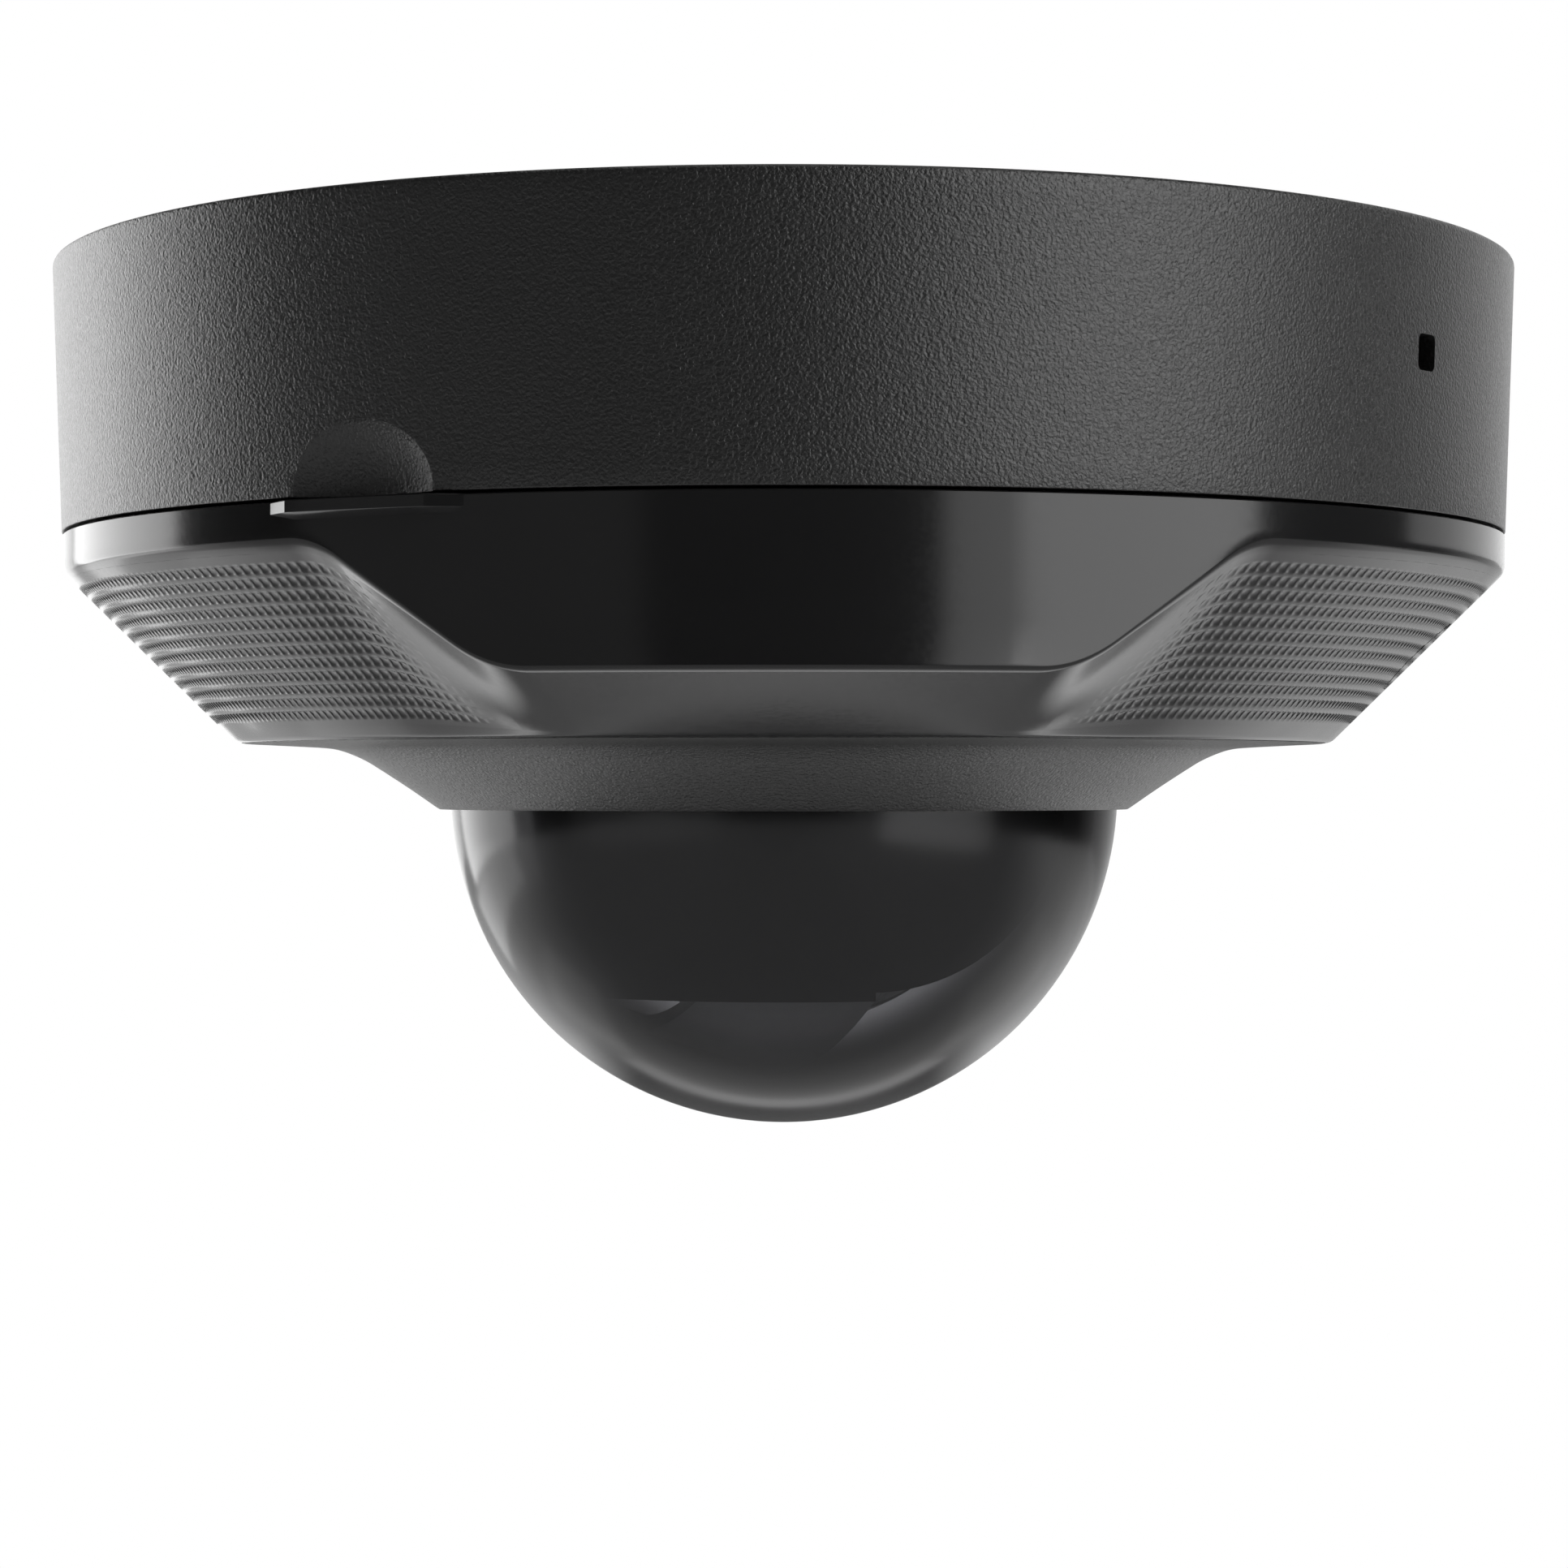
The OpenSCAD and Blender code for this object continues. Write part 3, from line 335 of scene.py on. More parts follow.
def settle(piece, matrix):
    """Moves the mesh and leaves the object at the origin."""
    piece.data.transform(piece.matrix_basis)
    piece.matrix_basis = Matrix.Identity(4)
    piece.data.transform(matrix)


def put(piece, material, body, slot, *nodes):
    """Finish, body and the nodes that the piece stands for. The slot argument is not used."""
    piece.data.materials.clear()
    piece.data.materials.append(material)
    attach(piece, body)
    if nodes:
        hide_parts(*nodes)


def chosen(piece, wanted):
    """Selects a piece's faces by their middles, in millimetres, and opens it for editing."""
    bpy.ops.object.select_all(action="DESELECT")
    piece.select_set(True)
    bpy.context.view_layer.objects.active = piece
    bpy.context.tool_settings.mesh_select_mode = (False, False, True)
    bpy.ops.object.mode_set(mode="EDIT")
    bpy.ops.mesh.select_all(action="DESELECT")
    bpy.ops.object.mode_set(mode="OBJECT")
    for face in piece.data.polygons:
        face.select = wanted(face.center/MM)
    bpy.ops.object.mode_set(mode="EDIT")


BASE_R, SEAM_R, BASE_H, WALL_IN = 66.0, 65.2, 23.9, 62.9
DRAFT, WALL_POINTS, UPPER_ROUND, LOWER_ROUND = 0.8, 13, 0.5, 0.12
outline = ([(WALL_IN + 0.05, 0.0)]
           + [(float(BASE_R - DRAFT*d/BASE_H), float(-d))
              for d in np.linspace(0, BASE_H, WALL_POINTS)]
           + [(WALL_IN + 0.05, -BASE_H)])
outline = rounded(outline, WALL_POINTS, LOWER_ROUND)
outline = rounded(outline, 1, UPPER_ROUND)
housing = turned("base_housing_shell", outline, 288)

SCOOP_TURN = -30
bpy.ops.object.select_all(action="DESELECT")
bpy.ops.mesh.primitive_uv_sphere_add(segments=96, ring_count=64, radius=1)
scoop = bpy.context.object
scoop.scale = (8.4*MM, 3.0*MM, 6.45*MM)
settle(scoop, at_azimuth(SCOOP_TURN, SEAM_R + 1.5, -BASE_H))
cut(housing, scoop)

LATCH_TURN, LATCH_Z = 53, -11.06
bpy.ops.object.select_all(action="DESELECT")
bpy.ops.mesh.primitive_cube_add(size=1)
slot = bpy.context.object
slot.scale = (2.85*MM, 9*MM, 2.98*MM)
settle(slot, Matrix.Identity(4))
bevel = slot.modifiers.new("round", "BEVEL")
bevel.width = 0.55*MM
bevel.segments = 4
bpy.context.view_layer.objects.active = slot
bpy.ops.object.modifier_apply(modifier="round")
slot.data.transform(at_azimuth(LATCH_TURN, BASE_R - 2, LATCH_Z))
cut(housing, slot)

# The deck, posts, rails and ledge inside are the moulding's own, kept from the frame.
inside = bpy.data.objects.new("base_inside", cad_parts["base_housing"].data.copy())
bpy.context.collection.objects.link(inside)
chosen(inside, lambda at: math.hypot(at.x, at.y) > WALL_IN + 0.1)
bpy.ops.mesh.delete(type="FACE")
bpy.ops.mesh.select_all(action="SELECT")
bpy.ops.mesh.customdata_custom_splitnormals_clear()
bpy.ops.mesh.remove_doubles(threshold=0.001*MM)
bpy.ops.object.mode_set(mode="OBJECT")
inside.data.materials.clear()
bpy.ops.object.select_all(action="DESELECT")
inside.select_set(True)
housing.select_set(True)
bpy.context.view_layer.objects.active = housing
bpy.ops.object.join()
smooth(housing, 30)


def leather(name, low, high, rough, grain, height, specular=0.5):
    """Moulded leather grain: wrinkles from warped noise with small pits between them, with
    grain in wrinkles and height of the relief in millimetres."""
    material, tree, shader = shade(name)
    fine = speckle(tree, grain, 3)
    fine.inputs["Distortion"].default_value = 0.6
    fine.inputs["Roughness"].default_value = 0.55
    cells = tree.nodes.new("ShaderNodeTexVoronoi")
    cells.feature = "SMOOTH_F1"
    cells.inputs["Scale"].default_value = grain*1.25/MM
    feed(tree, cells.inputs["Vector"], fine.inputs["Vector"].links[0].from_socket)
    both = maths(tree, "MULTIPLY_ADD", cells.outputs["Distance"], 0.55, fine.outputs["Fac"])
    raised(tree, both, shader, height)
    broad = speckle(tree, 0.05, 3)
    between(tree, broad.outputs["Fac"], low, high, shader.inputs["Base Color"])
    between(tree, fine.outputs["Fac"], rough[0], rough[1], shader.inputs["Roughness"])
    shader.inputs["Specular IOR Level"].default_value = specular
    return material


textured_black = leather("textured_black", (0.006, 0.006, 0.006), (0.008, 0.008, 0.008),
                         (0.31, 0.40), 3.3, 0.085, specular=0.72)
put(housing, textured_black, "housing", "textured_black", "base_housing")


# ---- Release latch ----
# An orange moulded latch slides between two rails under a steel keeper. A small coil spring
# pushes its nose into the first lug of the plate, and a tool through the slot pushes it back.
SPRING_HEAD, SPRING_FOOT, WIRE_R, COIL_R = 49.2, 44.4, 0.26, 1.7
latch_orange = finish("latch_orange", (0.50, 0.060, 0.008), (0.60, 0.085, 0.012),
                      (0.35, 0.48), 1.6, 0.012)
dress(latch_orange, "release_latch")
dress(steel, "latch_keeper")
dress(black_rubber, "cable_grommet")

bpy.ops.object.select_all(action="DESELECT")
bpy.ops.mesh.primitive_circle_add(vertices=10, radius=WIRE_R*MM, fill_type="NOTHING",
                                  location=(COIL_R*MM, 0, 0), rotation=(math.pi/2, 0, 0))
coil = bpy.context.object
coil.name = coil.data.name = "latch_coil"
settle(coil, Matrix.Identity(4))
winding = coil.modifiers.new("winding", "SCREW")
winding.angle = 2*math.pi
winding.screw_offset = 0.87*MM
winding.iterations = 5
winding.steps = winding.render_steps = 20
winding.use_merge_vertices = True
bpy.ops.object.modifier_apply(modifier="winding")
bpy.ops.object.mode_set(mode="EDIT")
bpy.ops.mesh.select_all(action="SELECT")
bpy.ops.mesh.fill_holes(sides=12)
bpy.ops.mesh.normals_make_consistent(inside=False)
bpy.ops.object.mode_set(mode="OBJECT")
coil.data.transform(at_azimuth(LATCH_TURN, SPRING_HEAD, LATCH_Z)
                    @ Matrix.Rotation(-math.pi/2, 4, "X")
                    @ Matrix.Translation((0, 0, 0.27*MM)))
smooth(coil, 60)
put(coil, steel, "housing", "steel", "latch_spring")
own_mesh(coil)


# ---- Main board ----
# A round board of glass epoxy under green mask, screwed to posts below the deck. Copper
# tracks show through the mask, and the screws are zinc-plated.
circuit_board, tree, shader = shade("circuit_board")
place = tree.nodes.new("ShaderNodeTexCoord")
tracks = tree.nodes.new("ShaderNodeTexBrick")
tracks.offset = 0.37
tracks.squash = 1.6
tracks.inputs["Scale"].default_value = 1/MM
tracks.inputs["Brick Width"].default_value = 3.1
tracks.inputs["Row Height"].default_value = 0.9
tracks.inputs["Mortar Size"].default_value = 0.09
tracks.inputs["Mortar Smooth"].default_value = 0.2
tracks.inputs["Color1"].default_value = (0.010, 0.085, 0.035, 1)
tracks.inputs["Color2"].default_value = (0.013, 0.100, 0.042, 1)
tracks.inputs["Mortar"].default_value = (0.040, 0.200, 0.075, 1)
feed(tree, tracks.inputs["Vector"], place.outputs["Object"])
feed(tree, shader.inputs["Base Color"], tracks.outputs["Color"])
between(tree, speckle(tree, 1.5).outputs["Fac"], 0.22, 0.34, shader.inputs["Roughness"])
raised(tree, tracks.outputs["Fac"], shader, 0.02)
dress(circuit_board, "main_board", "sensor_board")
dress(steel, "board_screws")


# ---- Processor and its cooling ----
# A square chip, a soft blue pad and a block of plain aluminium that reaches up to the deck.
chip_black = finish("chip_black", (0.012, 0.012, 0.013), (0.020, 0.020, 0.021),
                    (0.5, 0.65), 6.0, 0.006)
thermal_blue = finish("thermal_blue", (0.13, 0.19, 0.36), (0.17, 0.24, 0.42),
                      (0.75, 0.9), 2.5, 0.03)
aluminium = finish("aluminium", (0.60, 0.61, 0.62), (0.70, 0.71, 0.72), (0.3, 0.42),
                   0.8, 0.012, metallic=1.0, detail=4, stretch=(6, 1, 1))
dress(chip_black, "processor")
dress(thermal_blue, "thermal_pad")
dress(aluminium, "heat_sink")


# ---- Connectors on the board ----
# A tinned network jack, a green screw terminal, a pressed card slot with its black card, and
# an ivory connector for the amber ribbon cable, whose copper lines show through the film.
tinned = finish("tinned_shell", (0.58, 0.58, 0.57), (0.70, 0.70, 0.68), (0.22, 0.36),
                0.7, 0.008, metallic=1.0, detail=4)
terminal_green = finish("terminal_green", (0.010, 0.14, 0.025), (0.014, 0.18, 0.035),
                        (0.4, 0.52), 2.0, 0.01)
connector_ivory = finish("connector_ivory", (0.60, 0.55, 0.42), (0.68, 0.63, 0.50),
                         (0.42, 0.55), 2.0, 0.008)
card_black = finish("card_black", (0.016, 0.016, 0.018), (0.026, 0.026, 0.028),
                    (0.35, 0.45), 4.0, 0.005)
ribbon_amber, tree, shader = shade("ribbon_amber")
place = tree.nodes.new("ShaderNodeTexCoord")
lines = tree.nodes.new("ShaderNodeTexWave")
lines.bands_direction = "X"
lines.inputs["Scale"].default_value = 0.55/MM
lines.inputs["Distortion"].default_value = 0.15
feed(tree, lines.inputs["Vector"], place.outputs["Object"])
between(tree, lines.outputs["Fac"], (0.42, 0.16, 0.025), (0.62, 0.27, 0.06),
        shader.inputs["Base Color"], 0.4, 0.6)
between(tree, speckle(tree, 1.0).outputs["Fac"], 0.2, 0.3, shader.inputs["Roughness"])
raised(tree, lines.outputs["Fac"], shader, 0.02)
dress(tinned, "network_jack", "card_slot")
dress(terminal_green, "terminal_block")
dress(card_black, "memory_card")
dress(connector_ivory, "ribbon_connector")
dress(ribbon_amber, "ribbon_cable")


# ---- Reset button and status light ----
# A small tinned push switch with a red button, and a clear light beside it.
button_red = finish("button_red", (0.36, 0.012, 0.010), (0.46, 0.020, 0.016),
                    (0.35, 0.48), 2.5, 0.01)
led_clear, tree, shader = shade("led_clear")
between(tree, speckle(tree, 0.8).outputs["Fac"], (0.60, 0.78, 0.62), (0.70, 0.86, 0.72),
        shader.inputs["Base Color"])
shader.inputs["Roughness"].default_value = 0.08
shader.inputs["IOR"].default_value = 1.53
shader.inputs["Transmission Weight"].default_value = 0.85
dress(tinned, "reset_switch")
dress(button_red, "reset_button")
dress(led_clear, "status_light")


# ---- Chassis plate ----
# A matt black moulded ring screwed to brass inserts in the posts. It carries the camera.
# Three zinc-plated springs round it hold the cover up, and a rubber ring seals the cover.
inner_black = finish("inner_black", (0.014, 0.014, 0.015), (0.021, 0.021, 0.022),
                     (0.34, 0.46), 3.0, 0.02)
brass = finish("brass", (0.50, 0.33, 0.10), (0.62, 0.42, 0.14), (0.24, 0.38),
               1.2, 0.01, metallic=1.0, detail=4)
dress(inner_black, "chassis_plate")
dress(brass, "brass_inserts")
dress(steel, "chassis_screws", "cover_springs")
dress(black_rubber, "cover_gasket")


# ---- Pan unit ----
# The bearing ring turns in the chassis plate with its retainer screwed on behind, and two
# arms on it carry the tilt pivots. The shroud hides the works behind a smooth satin wall.
shroud_black = finish("shroud_black", (0.012, 0.012, 0.0125), (0.015, 0.015, 0.0155),
                      (0.32, 0.38), 2.2, 0.0004)
dress(inner_black, "pan_ring", "pan_retainer")
dress(shroud_black, "shroud")
dress(steel, "retainer_screws", "pan_lock_screw")


# ---- Camera ----
# Two fine-grained shells round a journal that rolls in the tilt cradle. The rear shell
# carries the belt that a finger turns.
# The shells are black plastic; their dark grey colour is painted light, standing in for their
# gloss reflections and for the light that the smoked dome holds back.
camera_grain = leather("camera_grain", (0.165, 0.165, 0.167), (0.185, 0.185, 0.187),
                       (0.32, 0.42), 3.4, 0.035)
dress(inner_black, "tilt_cradle", "roll_journal")
dress(camera_grain, "camera_shell", "front_shell")
dress(steel, "pivot_screws")


# ---- Lens and sensor ----
# A black anodised barrel in its holder, a ribbed focus ring, a coated front element, and a
# red filter over the sensor's glass face.
anodised = finish("anodised_black", (0.010, 0.010, 0.011), (0.016, 0.016, 0.017),
                  (0.28, 0.38), 2.0, 0.004, metallic=0.4)
lens_glass, tree, shader = shade("lens_glass")
# The front element's colour goes from dark blue face on to a lighter purple edge-on: a
# painted reflection of its coating.
painted_coating_reflection = tree.nodes.new("ShaderNodeLayerWeight")
painted_coating_reflection.inputs["Blend"].default_value = 0.4
between(tree, painted_coating_reflection.outputs["Facing"], (0.015, 0.020, 0.050), (0.09, 0.05, 0.13),
        shader.inputs["Base Color"], 0.1, 0.8)
shader.inputs["Roughness"].default_value = 0.02
shader.inputs["IOR"].default_value = 1.62
shader.inputs["Coat Weight"].default_value = 0.6
sensor_glass, tree, shader = shade("sensor_glass")
between(tree, speckle(tree, 1.0).outputs["Fac"], (0.020, 0.012, 0.035), (0.035, 0.020, 0.050),
        shader.inputs["Base Color"])
shader.inputs["Roughness"].default_value = 0.06
filter_glass, tree, shader = shade("filter_glass")
between(tree, speckle(tree, 0.6).outputs["Fac"], (0.60, 0.12, 0.16), (0.68, 0.15, 0.20),
        shader.inputs["Base Color"])
shader.inputs["Roughness"].default_value = 0.03
shader.inputs["Transmission Weight"].default_value = 0.8
dress(anodised, "lens_holder", "lens_barrel", "focus_ring")
dress(lens_glass, "lens_glass")
dress(sensor_glass, "image_sensor")
dress(filter_glass, "infrared_filter")


# ---- Cover ----
# A smooth black moulding in three faces: an upright band, sloping sides with a sunk grip
# pattern, and an upright panel at front and back. Each corner edge is softly rounded.
SEAM_Z, BAND_Z, PANEL_Z, EDGE_Z, EDGE_R = -24.15, -27.4, -37.6, -42.5, 49.9
PANEL_LOW, PANEL_TOP, TOP_R, WALL, ROUND = 22.55, 36.6, 65.2, 2.2, 0.45


def corner_z(azimuth):
    """Height of the cover's corner at an azimuth, with the panel's two corners rounded."""
    x = TOP_R*abs(math.sin(azimuth))
    slope = (BAND_Z - PANEL_Z)/(PANEL_TOP - PANEL_LOW)
    z = PANEL_Z + slope*min(max(x - PANEL_LOW, 0), PANEL_TOP - PANEL_LOW)
    for knee, half, sign in ((PANEL_LOW, 3.0, 1), (PANEL_TOP, 2.2, -1)):
        if abs(x - knee) < half:
            inside = x - knee + half if sign > 0 else knee + half - x
            z = (PANEL_Z if sign > 0 else BAND_Z) + sign*slope*inside*inside/(4*half)
    return z


def wrapped(name, columns, rows, place):
    """A grid whose points are placed one by one, closed by merging those that meet."""
    bpy.ops.object.select_all(action="DESELECT")
    bpy.ops.mesh.primitive_grid_add(x_subdivisions=columns, y_subdivisions=rows, size=2)
    sheet = bpy.context.object
    sheet.name = sheet.data.name = name
    flat = np.zeros(len(sheet.data.vertices)*3)
    sheet.data.vertices.foreach_get("co", flat)
    flat = flat.reshape(-1, 3)
    column = np.rint((flat[:, 0] + 1)/2*columns).astype(int)
    row = np.rint((flat[:, 1] + 1)/2*rows).astype(int)
    flat[:] = np.array([place(int(i), int(j)) for i, j in zip(column, row)])*MM
    sheet.data.vertices.foreach_set("co", flat.ravel())
    bpy.ops.object.mode_set(mode="EDIT")
    bpy.ops.mesh.select_all(action="SELECT")
    bpy.ops.mesh.remove_doubles(threshold=0.001*MM)
    bpy.ops.mesh.normals_make_consistent(inside=False)
    bpy.ops.object.mode_set(mode="OBJECT")
    return sheet


def slope_point(azimuth, share, sunk=0.0):
    """A point on the slope, share 0 at the corner and 1 at the lower edge, sunk inwards."""
    z0 = corner_z(azimuth)
    r = TOP_R - 0.1 + (EDGE_R - TOP_R)*share
    z = z0 + (EDGE_Z - z0)*share
    run, drop = TOP_R - EDGE_R, z0 - EDGE_Z
    length = math.hypot(run, drop)
    r -= sunk*drop/length
    z += sunk*run/length
    return r*math.sin(azimuth), -r*math.cos(azimuth), z


# The grip pattern lies in a recess, whose ends are in radians and whose rims are shares of
# the slope. RECESS_WALL is how far its steep wall runs, in either.
GRIP_FROM, GRIP_TO = math.radians(24), math.radians(156)
SHARE_FROM, SHARE_TO = 0.045, 0.925
RECESS_DEEP, RECESS_WALL = 0.4, 0.002
corner_azimuths = [math.radians(a) for a in np.arange(15, 40.01, 0.5)]
azimuths = sorted(set(
    [math.radians(a) for a in np.arange(-180, 180.01, 2.5)]
    + [s*a for s in (-1, 1) for a in corner_azimuths]
    + [s*(math.pi - a) for s in (-1, 1) for a in corner_azimuths]
    + [s*a for s in (-1, 1) for a in (GRIP_FROM, GRIP_FROM + RECESS_WALL,
                                      GRIP_TO - RECESS_WALL, GRIP_TO)]))
azimuths = [azimuths[0]] + [b for a, b in zip(azimuths, azimuths[1:])
                            if b - a > RECESS_WALL/2]
slope_shares = [SHARE_FROM, SHARE_FROM + RECESS_WALL, 0.2, 0.4, 0.6, 0.8,
                SHARE_TO - RECESS_WALL, SHARE_TO]


def curved(start, middle, end, shares):
    """Points on a curve from start to end that bends towards middle."""
    return [tuple(start*(1 - t)**2 + middle*2*t*(1 - t) + end*t*t) for t in shares]


def cover_ring(azimuth):
    """The closed outline of the cover at one azimuth, as (radius, height) points."""
    z0 = corner_z(azimuth)
    run, drop = TOP_R - EDGE_R, z0 - EDGE_Z
    length = math.hypot(run, drop)
    points = [(61.7, SEAM_Z), (64.6, SEAM_Z), (TOP_R - 0.15, SEAM_Z),
              (TOP_R - 0.05, SEAM_Z - 0.1)]
    upright = [SEAM_Z - 0.1 + (z0 + ROUND - SEAM_Z + 0.1)*k/4 for k in range(1, 5)]
    points += [(TOP_R - 0.05 - 0.1*(SEAM_Z - z)/13.5, z) for z in upright]
    above = Vector((TOP_R - 0.1, z0 + ROUND))
    corner = Vector((TOP_R - 0.1, z0))
    below = corner + Vector((-run, -drop))/length*ROUND
    points += curved(above, corner, below, [k/6 for k in range(1, 6)])
    half = RECESS_WALL/2
    in_grip = GRIP_FROM + half < abs(azimuth) < GRIP_TO - half
    for share in slope_shares:
        sunk = RECESS_DEEP if in_grip and SHARE_FROM + half < share < SHARE_TO - half else 0.0
        r = TOP_R - 0.1 - run*share - sunk*drop/length
        points.append((r, z0 - drop*share + sunk*run/length))
    low = corner + Vector((-run, -drop))*(1 - 0.5/length)
    edge = Vector((EDGE_R - 0.1, EDGE_Z))
    inner = Vector((EDGE_R - 0.55, EDGE_Z))
    quarters = [k/4 for k in range(0, 5)]
    points += curved(low, edge, inner, quarters)
    # From here up the inside: the rebate for the collar, the wall, and the rim of the seam.
    points += [(49.32, -40.9), (46.6, -40.9), (46.6, -39.4), (50.0, -39.4)]
    inner_r = TOP_R - WALL
    knee = z0 + WALL*math.tan(math.atan2(run, drop)/2)
    points += [(50.0 + (inner_r - 50.0)*t, -39.4 + (knee + 39.4)*t) for t in quarters]
    points += [(inner_r, -27.0 if knee < -27.0 else knee + 0.2), (inner_r, -26.35),
               (60.9, -26.35), (60.9, -20.75), (61.1, -20.55), (62.3, -20.55),
               (62.5, -20.75), (62.5, SEAM_Z + 0.6)]
    return points


rings = [cover_ring(a) for a in azimuths]
count = len(rings[0])
assert all(len(r) == count for r in rings)


def on_cover(i, j):
    """The cover's point for column i round it and row j along its outline."""
    azimuth = azimuths[i % (len(azimuths) - 1)]
    r, z = rings[i % (len(azimuths) - 1)][j % count]
    return r*math.sin(azimuth), -r*math.cos(azimuth), z


cover = wrapped("cover_moulding", len(azimuths) - 1, count, on_cover)
smooth(cover, 32)

smooth_black = finish("smooth_black", (0.0085, 0.0085, 0.0088), (0.0105, 0.0105, 0.0108),
                      (0.14, 0.17), 2.5, 0.0006, spot=0.04)


# ---- Grip pattern ----
# The sloping sides carry twelve rows of small rounded pockets sunk in the moulding, one
# for each degree, so that a gloved hand can turn the cover. They fade out near the panels.
ROWS, POCKET_DEEP, PITCH = 12, 0.09, math.radians(1.0)
ROW_FROM, ROW_TO = 0.085, 0.90
HALF_WIDE, HALF_HIGH, POCKET_WALL = 0.40, 0.36, 0.2
FADE_FROM, FADE_LEAN, FADE_OVER = 36.5, 6.0, 6.5
across = (0.0, 0.10, 0.18, 0.50, 0.82, 0.90)
down = (0.0, 0.14, 0.22, 0.50, 0.78, 0.86)


def pocket(u, v, fade):
    """Depth of the pattern at a place in its cell; v runs down and u towards the panel. As
    it fades, a pocket grows shallow first at its lower corner away from the panel."""
    x, y = abs(u - 0.5)/HALF_WIDE, abs(v - 0.5)/HALF_HIGH
    wall = min(max((1 - (x**4 + y**4)**0.25)/POCKET_WALL, 0), 1)
    corner = 0.5*u + 0.5*(1 - v)
    return POCKET_DEEP*wall*min(max(1 - fade*(2.1 - 1.5*corner), 0), 1)


def grip_sheet(name, side):
    """One side's pattern as a sheet on the slope, with side -1 at the left and 1 at the
    right."""
    columns = int(round((GRIP_TO - GRIP_FROM)/PITCH))
    us = [(c, u) for c in range(columns) for u in across] + [(columns, 0.0)]
    vs = ([(-1, 0.0)] + [(r, v) for r in range(ROWS) for v in down]
          + [(ROWS, 0.0), (ROWS, 1.0)])

    def place(i, j):
        c, u = us[i]
        r, v = vs[j]
        azimuth = GRIP_FROM + (c + u)*PITCH
        if j == 0:
            return slope_point(side*azimuth, SHARE_FROM)
        if j == len(vs) - 1:
            return slope_point(side*azimuth, SHARE_TO)
        share = ROW_FROM + (ROW_TO - ROW_FROM)*(r + v)/ROWS
        front = min(azimuth, math.pi - azimuth)
        limit = math.radians(FADE_FROM - FADE_LEAN*share)
        fade = min(max((limit - front)/math.radians(FADE_OVER), 0), 1)
        towards = 1 - u if azimuth < math.pi/2 else u
        return slope_point(side*azimuth, share, pocket(towards, v, fade) if r < ROWS else 0)

    sheet = wrapped(name, len(us) - 1, len(vs) - 1, place)
    middle = sheet.data.polygons[len(sheet.data.polygons)//2]
    if middle.normal.dot(Vector((middle.center.x, middle.center.y, 0))) < 0:
        sheet.data.flip_normals()
    return sheet


grip_left = grip_sheet("grip_pattern_left", -1)
smooth(grip_left, 28)
put(grip_left, smooth_black, "cover_unit", "smooth_black")


# ---- Service plug ----
# A round push-in plug, square to the right side, hides a service hole. The pattern runs on
# over its face, and a thin gap is left round it. It pulls straight out.
PLUG_R, PLUG_GAP, PLUG_L, STEM_FROM = 3.6, 0.45, 5.0, 0.9
PLUG_MID_R, PLUG_MID_Z, RIM_SUNK, RIM_NEAR = 57.5, -35.0, 0.25, 6
plug_turn = math.radians(78.5)
plug_at = Vector((PLUG_MID_R*math.sin(plug_turn), -PLUG_MID_R*math.cos(plug_turn),
                  PLUG_MID_Z))
plug_out = Vector((math.sin(plug_turn), -math.cos(plug_turn), -1)).normalized()


def off_plug(at):
    """How far a point in millimetres is from the plug's axis, as a vector."""
    rel = Vector(at) - plug_at
    return rel - rel.dot(plug_out)*plug_out


def rim_to(piece, radius, depth):
    """Rounds the open edge round the plug to a radius and gives it a wall inwards."""
    bpy.ops.object.mode_set(mode="OBJECT")
    bpy.context.tool_settings.mesh_select_mode = (True, False, False)
    bpy.ops.object.mode_set(mode="EDIT")
    bpy.ops.mesh.select_all(action="DESELECT")
    bpy.ops.mesh.select_non_manifold(extend=False)
    bpy.ops.object.mode_set(mode="OBJECT")
    for v in piece.data.vertices:
        away = off_plug(v.co/MM)
        v.select = v.select and away.length < RIM_NEAR
        if v.select:
            v.co += (away.normalized()*(radius - away.length) - plug_out*RIM_SUNK)*MM
    for e in piece.data.edges:
        e.select = all(piece.data.vertices[k].select for k in e.vertices)
    bpy.context.tool_settings.mesh_select_mode = (False, True, False)
    bpy.ops.object.mode_set(mode="EDIT")
    bpy.ops.mesh.extrude_edges_move(TRANSFORM_OT_translate={"value": -depth*MM*plug_out})
    bpy.ops.object.mode_set(mode="OBJECT")


grip_right = grip_sheet("grip_pattern_right", 1)
plug = bpy.data.objects.new("service_plug_moulding", grip_right.data.copy())
bpy.context.collection.objects.link(plug)
chosen(grip_right, lambda at: off_plug(at).length < PLUG_R + PLUG_GAP/2)
bpy.ops.mesh.delete(type="FACE")
rim_to(grip_right, PLUG_R + PLUG_GAP, 0.6)
smooth(grip_right, 28)
put(grip_right, smooth_black, "cover_unit", "smooth_black")

chosen(plug, lambda at: off_plug(at).length > PLUG_R + PLUG_GAP/2)
bpy.ops.mesh.delete(type="FACE")
rim_to(plug, PLUG_R, 1.2)
bpy.ops.object.select_all(action="DESELECT")
bpy.ops.mesh.primitive_cylinder_add(vertices=64, radius=(PLUG_R - 0.05)*MM,
                                    depth=(PLUG_L - STEM_FROM)*MM)
stem = bpy.context.object
bevel = stem.modifiers.new("round", "BEVEL")
bevel.width = 0.3*MM
bevel.segments = 3
bpy.ops.object.modifier_apply(modifier="round")
plug_axes = plug_out.to_track_quat("Z", "Y").to_matrix().to_4x4()
stem_mid = plug_at - plug_out*(PLUG_L + STEM_FROM)/2
settle(stem, Matrix.Translation(stem_mid*MM) @ plug_axes)
bpy.ops.object.select_all(action="DESELECT")
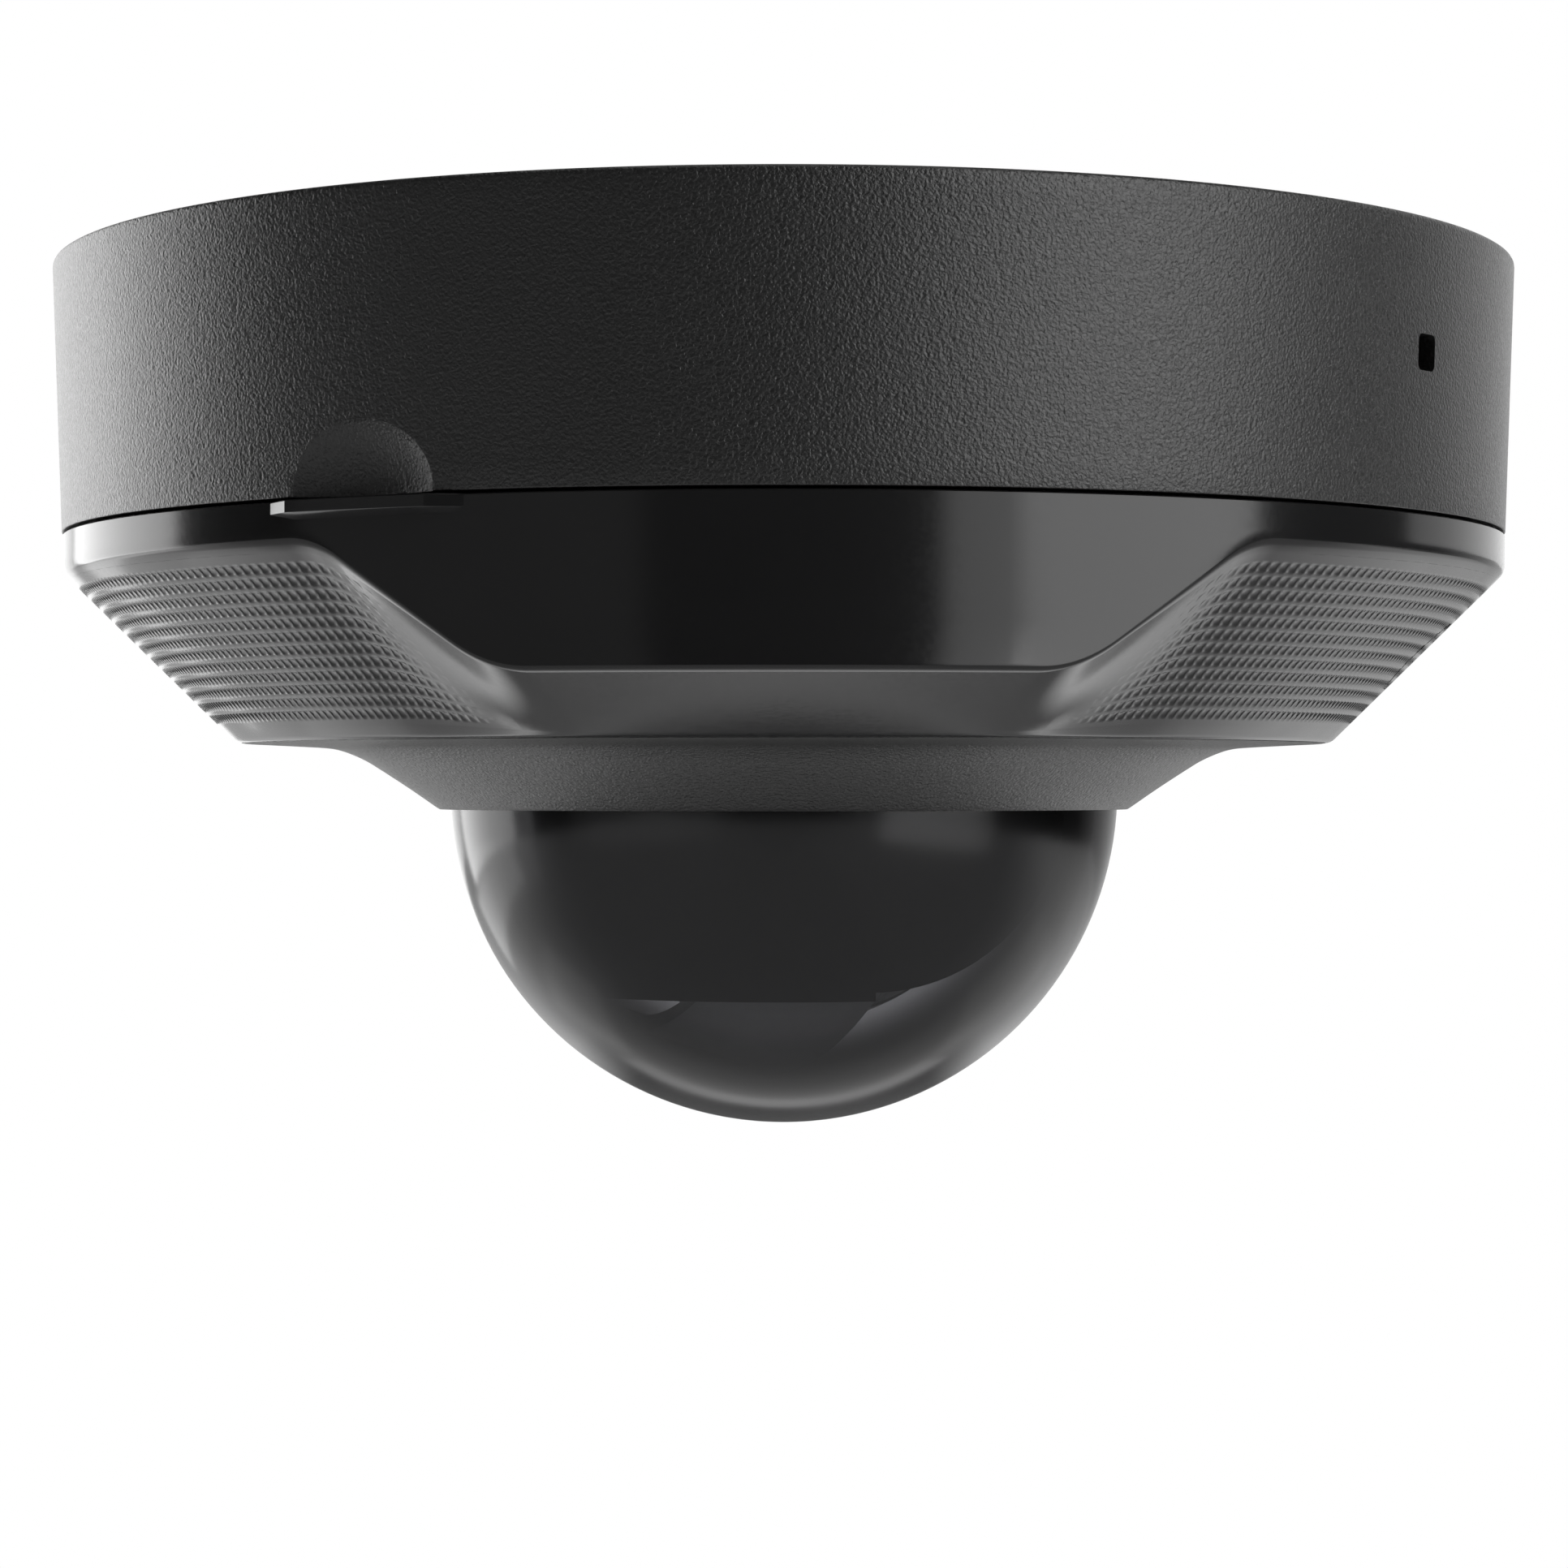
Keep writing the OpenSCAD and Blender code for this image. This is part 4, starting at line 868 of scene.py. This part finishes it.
stem.select_set(True)
plug.select_set(True)
bpy.context.view_layer.objects.active = plug
bpy.ops.object.join()
smooth(plug, 28)
put(plug, smooth_black, "plug", "smooth_black", "service_plug")

bpy.ops.object.select_all(action="DESELECT")
bpy.ops.mesh.primitive_cylinder_add(vertices=64, radius=(PLUG_R + PLUG_GAP)*MM, depth=16*MM)
bore = bpy.context.object
settle(bore, Matrix.Translation(plug_at*MM) @ plug_axes)
cut(cover, bore)
smooth(cover, 32)
put(cover, smooth_black, "cover_unit", "smooth_black", "cover")


# ---- Pull lip ----
# A small ledge moulded on the cover under the scoop, square in front, cut back underneath
# and tapered at its ends, for the thumb to pull on.
LIP_ROOT, LIP_FRONT, LIP_OUT, LIP_H = 9.25, 6.5, 1.2, 1.4
lip_xs = ([-LIP_ROOT - 0.2] + [float(x) for x in np.linspace(-LIP_FRONT, LIP_FRONT, 15)]
          + [LIP_ROOT + 0.2])


def on_lip(i, j):
    """The lip's outline, from its top at the wall round to its root below."""
    x = lip_xs[i]
    out = LIP_OUT if abs(x) <= LIP_FRONT + 0.01 else -0.15
    r, z = [(-0.7, 0.0), (out - 0.12, 0.0), (out, -0.1), (out, -0.98), (out - 0.1, -1.06),
            (-0.7, -LIP_H - 0.3)][j % 6]
    a = x/TOP_R
    return (TOP_R + r)*math.sin(a), -(TOP_R + r)*math.cos(a), SEAM_Z + z


lip = wrapped("pull_lip", len(lip_xs) - 1, 6, on_lip)
lip.data.transform(at_azimuth(SCOOP_TURN))
smooth(lip, 25)
put(lip, smooth_black, "cover_unit", "smooth_black")


# ---- Collar and dome ----
# The collar has the leather grain of the base. It is flat at the cover and sweeps down to a
# sharp lip at the dome, which is blown from smoke-tinted clear polycarbonate.
def through(points, steps=4):
    """A smooth line through (radius, height) points."""
    ends = [points[0]] + list(points) + [points[-1]]
    line = []
    for a, b, c, d in zip(ends, ends[1:], ends[2:], ends[3:]):
        a, b, c, d = map(Vector, (a, b, c, d))
        for k in range(steps):
            t = k/steps
            line.append(tuple(0.5*((2*b) + (c - a)*t + (2*a - 5*b + 4*c - d)*t*t
                                   + (3*b - a - 3*c + d)*t**3)))
    return line + [points[-1]]


sweep = through([(49.15, -42.55), (45.5, -42.72), (42.6, -42.88), (41.0, -43.05),
                 (39.7, -43.43), (38.2, -44.1), (36.8, -44.95), (34.2, -46.65),
                 (31.75, -48.35)])
collar = turned("dome_collar_sweep", [
    (49.2, -41.1)] + sweep + [(31.5, -48.5), (31.2, -48.5), (30.9, -48.3), (30.9, -43.0),
    (37.3, -43.0), (37.3, -40.2), (46.3, -40.2), (46.3, -41.1)], 288)
smooth(collar, 30)
put(collar, textured_black, "cover_unit", "textured_black", "dome_collar")

DOME_R, DOME_T, DOME_MID = 30.6, 2.0, -46.58
arc = [math.radians(a) for a in np.linspace(0, 90, 41)]
outer = [(DOME_R*math.cos(a), DOME_MID - DOME_R*math.sin(a)) for a in arc]
inner = [((DOME_R - DOME_T)*math.cos(a), DOME_MID - (DOME_R - DOME_T)*math.sin(a))
         for a in reversed(arc)]
outer[-1] = (0.0, outer[-1][1])
inner[0] = (0.0, inner[0][1])
dome = turned("dome_window_bowl", [(37.0, -41.2), (37.0, -43.0), (DOME_R, -43.0)] + outer
              + inner + [(DOME_R - DOME_T, -41.2)], 192)
smooth(dome, 40)

# Smoke-tinted polycarbonate: clear face on, dark where it is looked along.
smoked, tree, shader = shade("smoked_clear")
tree.nodes.remove(shader)
edge_on = tree.nodes.new("ShaderNodeLayerWeight")
edge_on.inputs["Blend"].default_value = 0.5
steep = maths(tree, "POWER", edge_on.outputs["Facing"], 5)
mirrored = maths(tree, "MULTIPLY_ADD", steep, 0.95, 0.035)
smoke = tree.nodes.new("ShaderNodeBsdfTransparent")
between(tree, edge_on.outputs["Facing"], (0.62, 0.62, 0.63), (0.10, 0.10, 0.105),
        smoke.inputs["Color"], 0.32, 0.54)
gloss = tree.nodes.new("ShaderNodeBsdfGlossy")
gloss.inputs["Color"].default_value = (0.85, 0.85, 0.85, 1)
scuff = speckle(tree, 0.08, 3)
between(tree, scuff.outputs["Fac"], 0.15, 0.18, gloss.inputs["Roughness"])
mixed(tree, mirrored, smoke.outputs[0], gloss.outputs[0])
put(dome, smoked, "cover_unit", "smoked_clear", "dome_window")

dress(black_rubber, "dome_gasket")
dress(inner_black, "dome_clamp")
dress(steel, "clamp_screws_set")
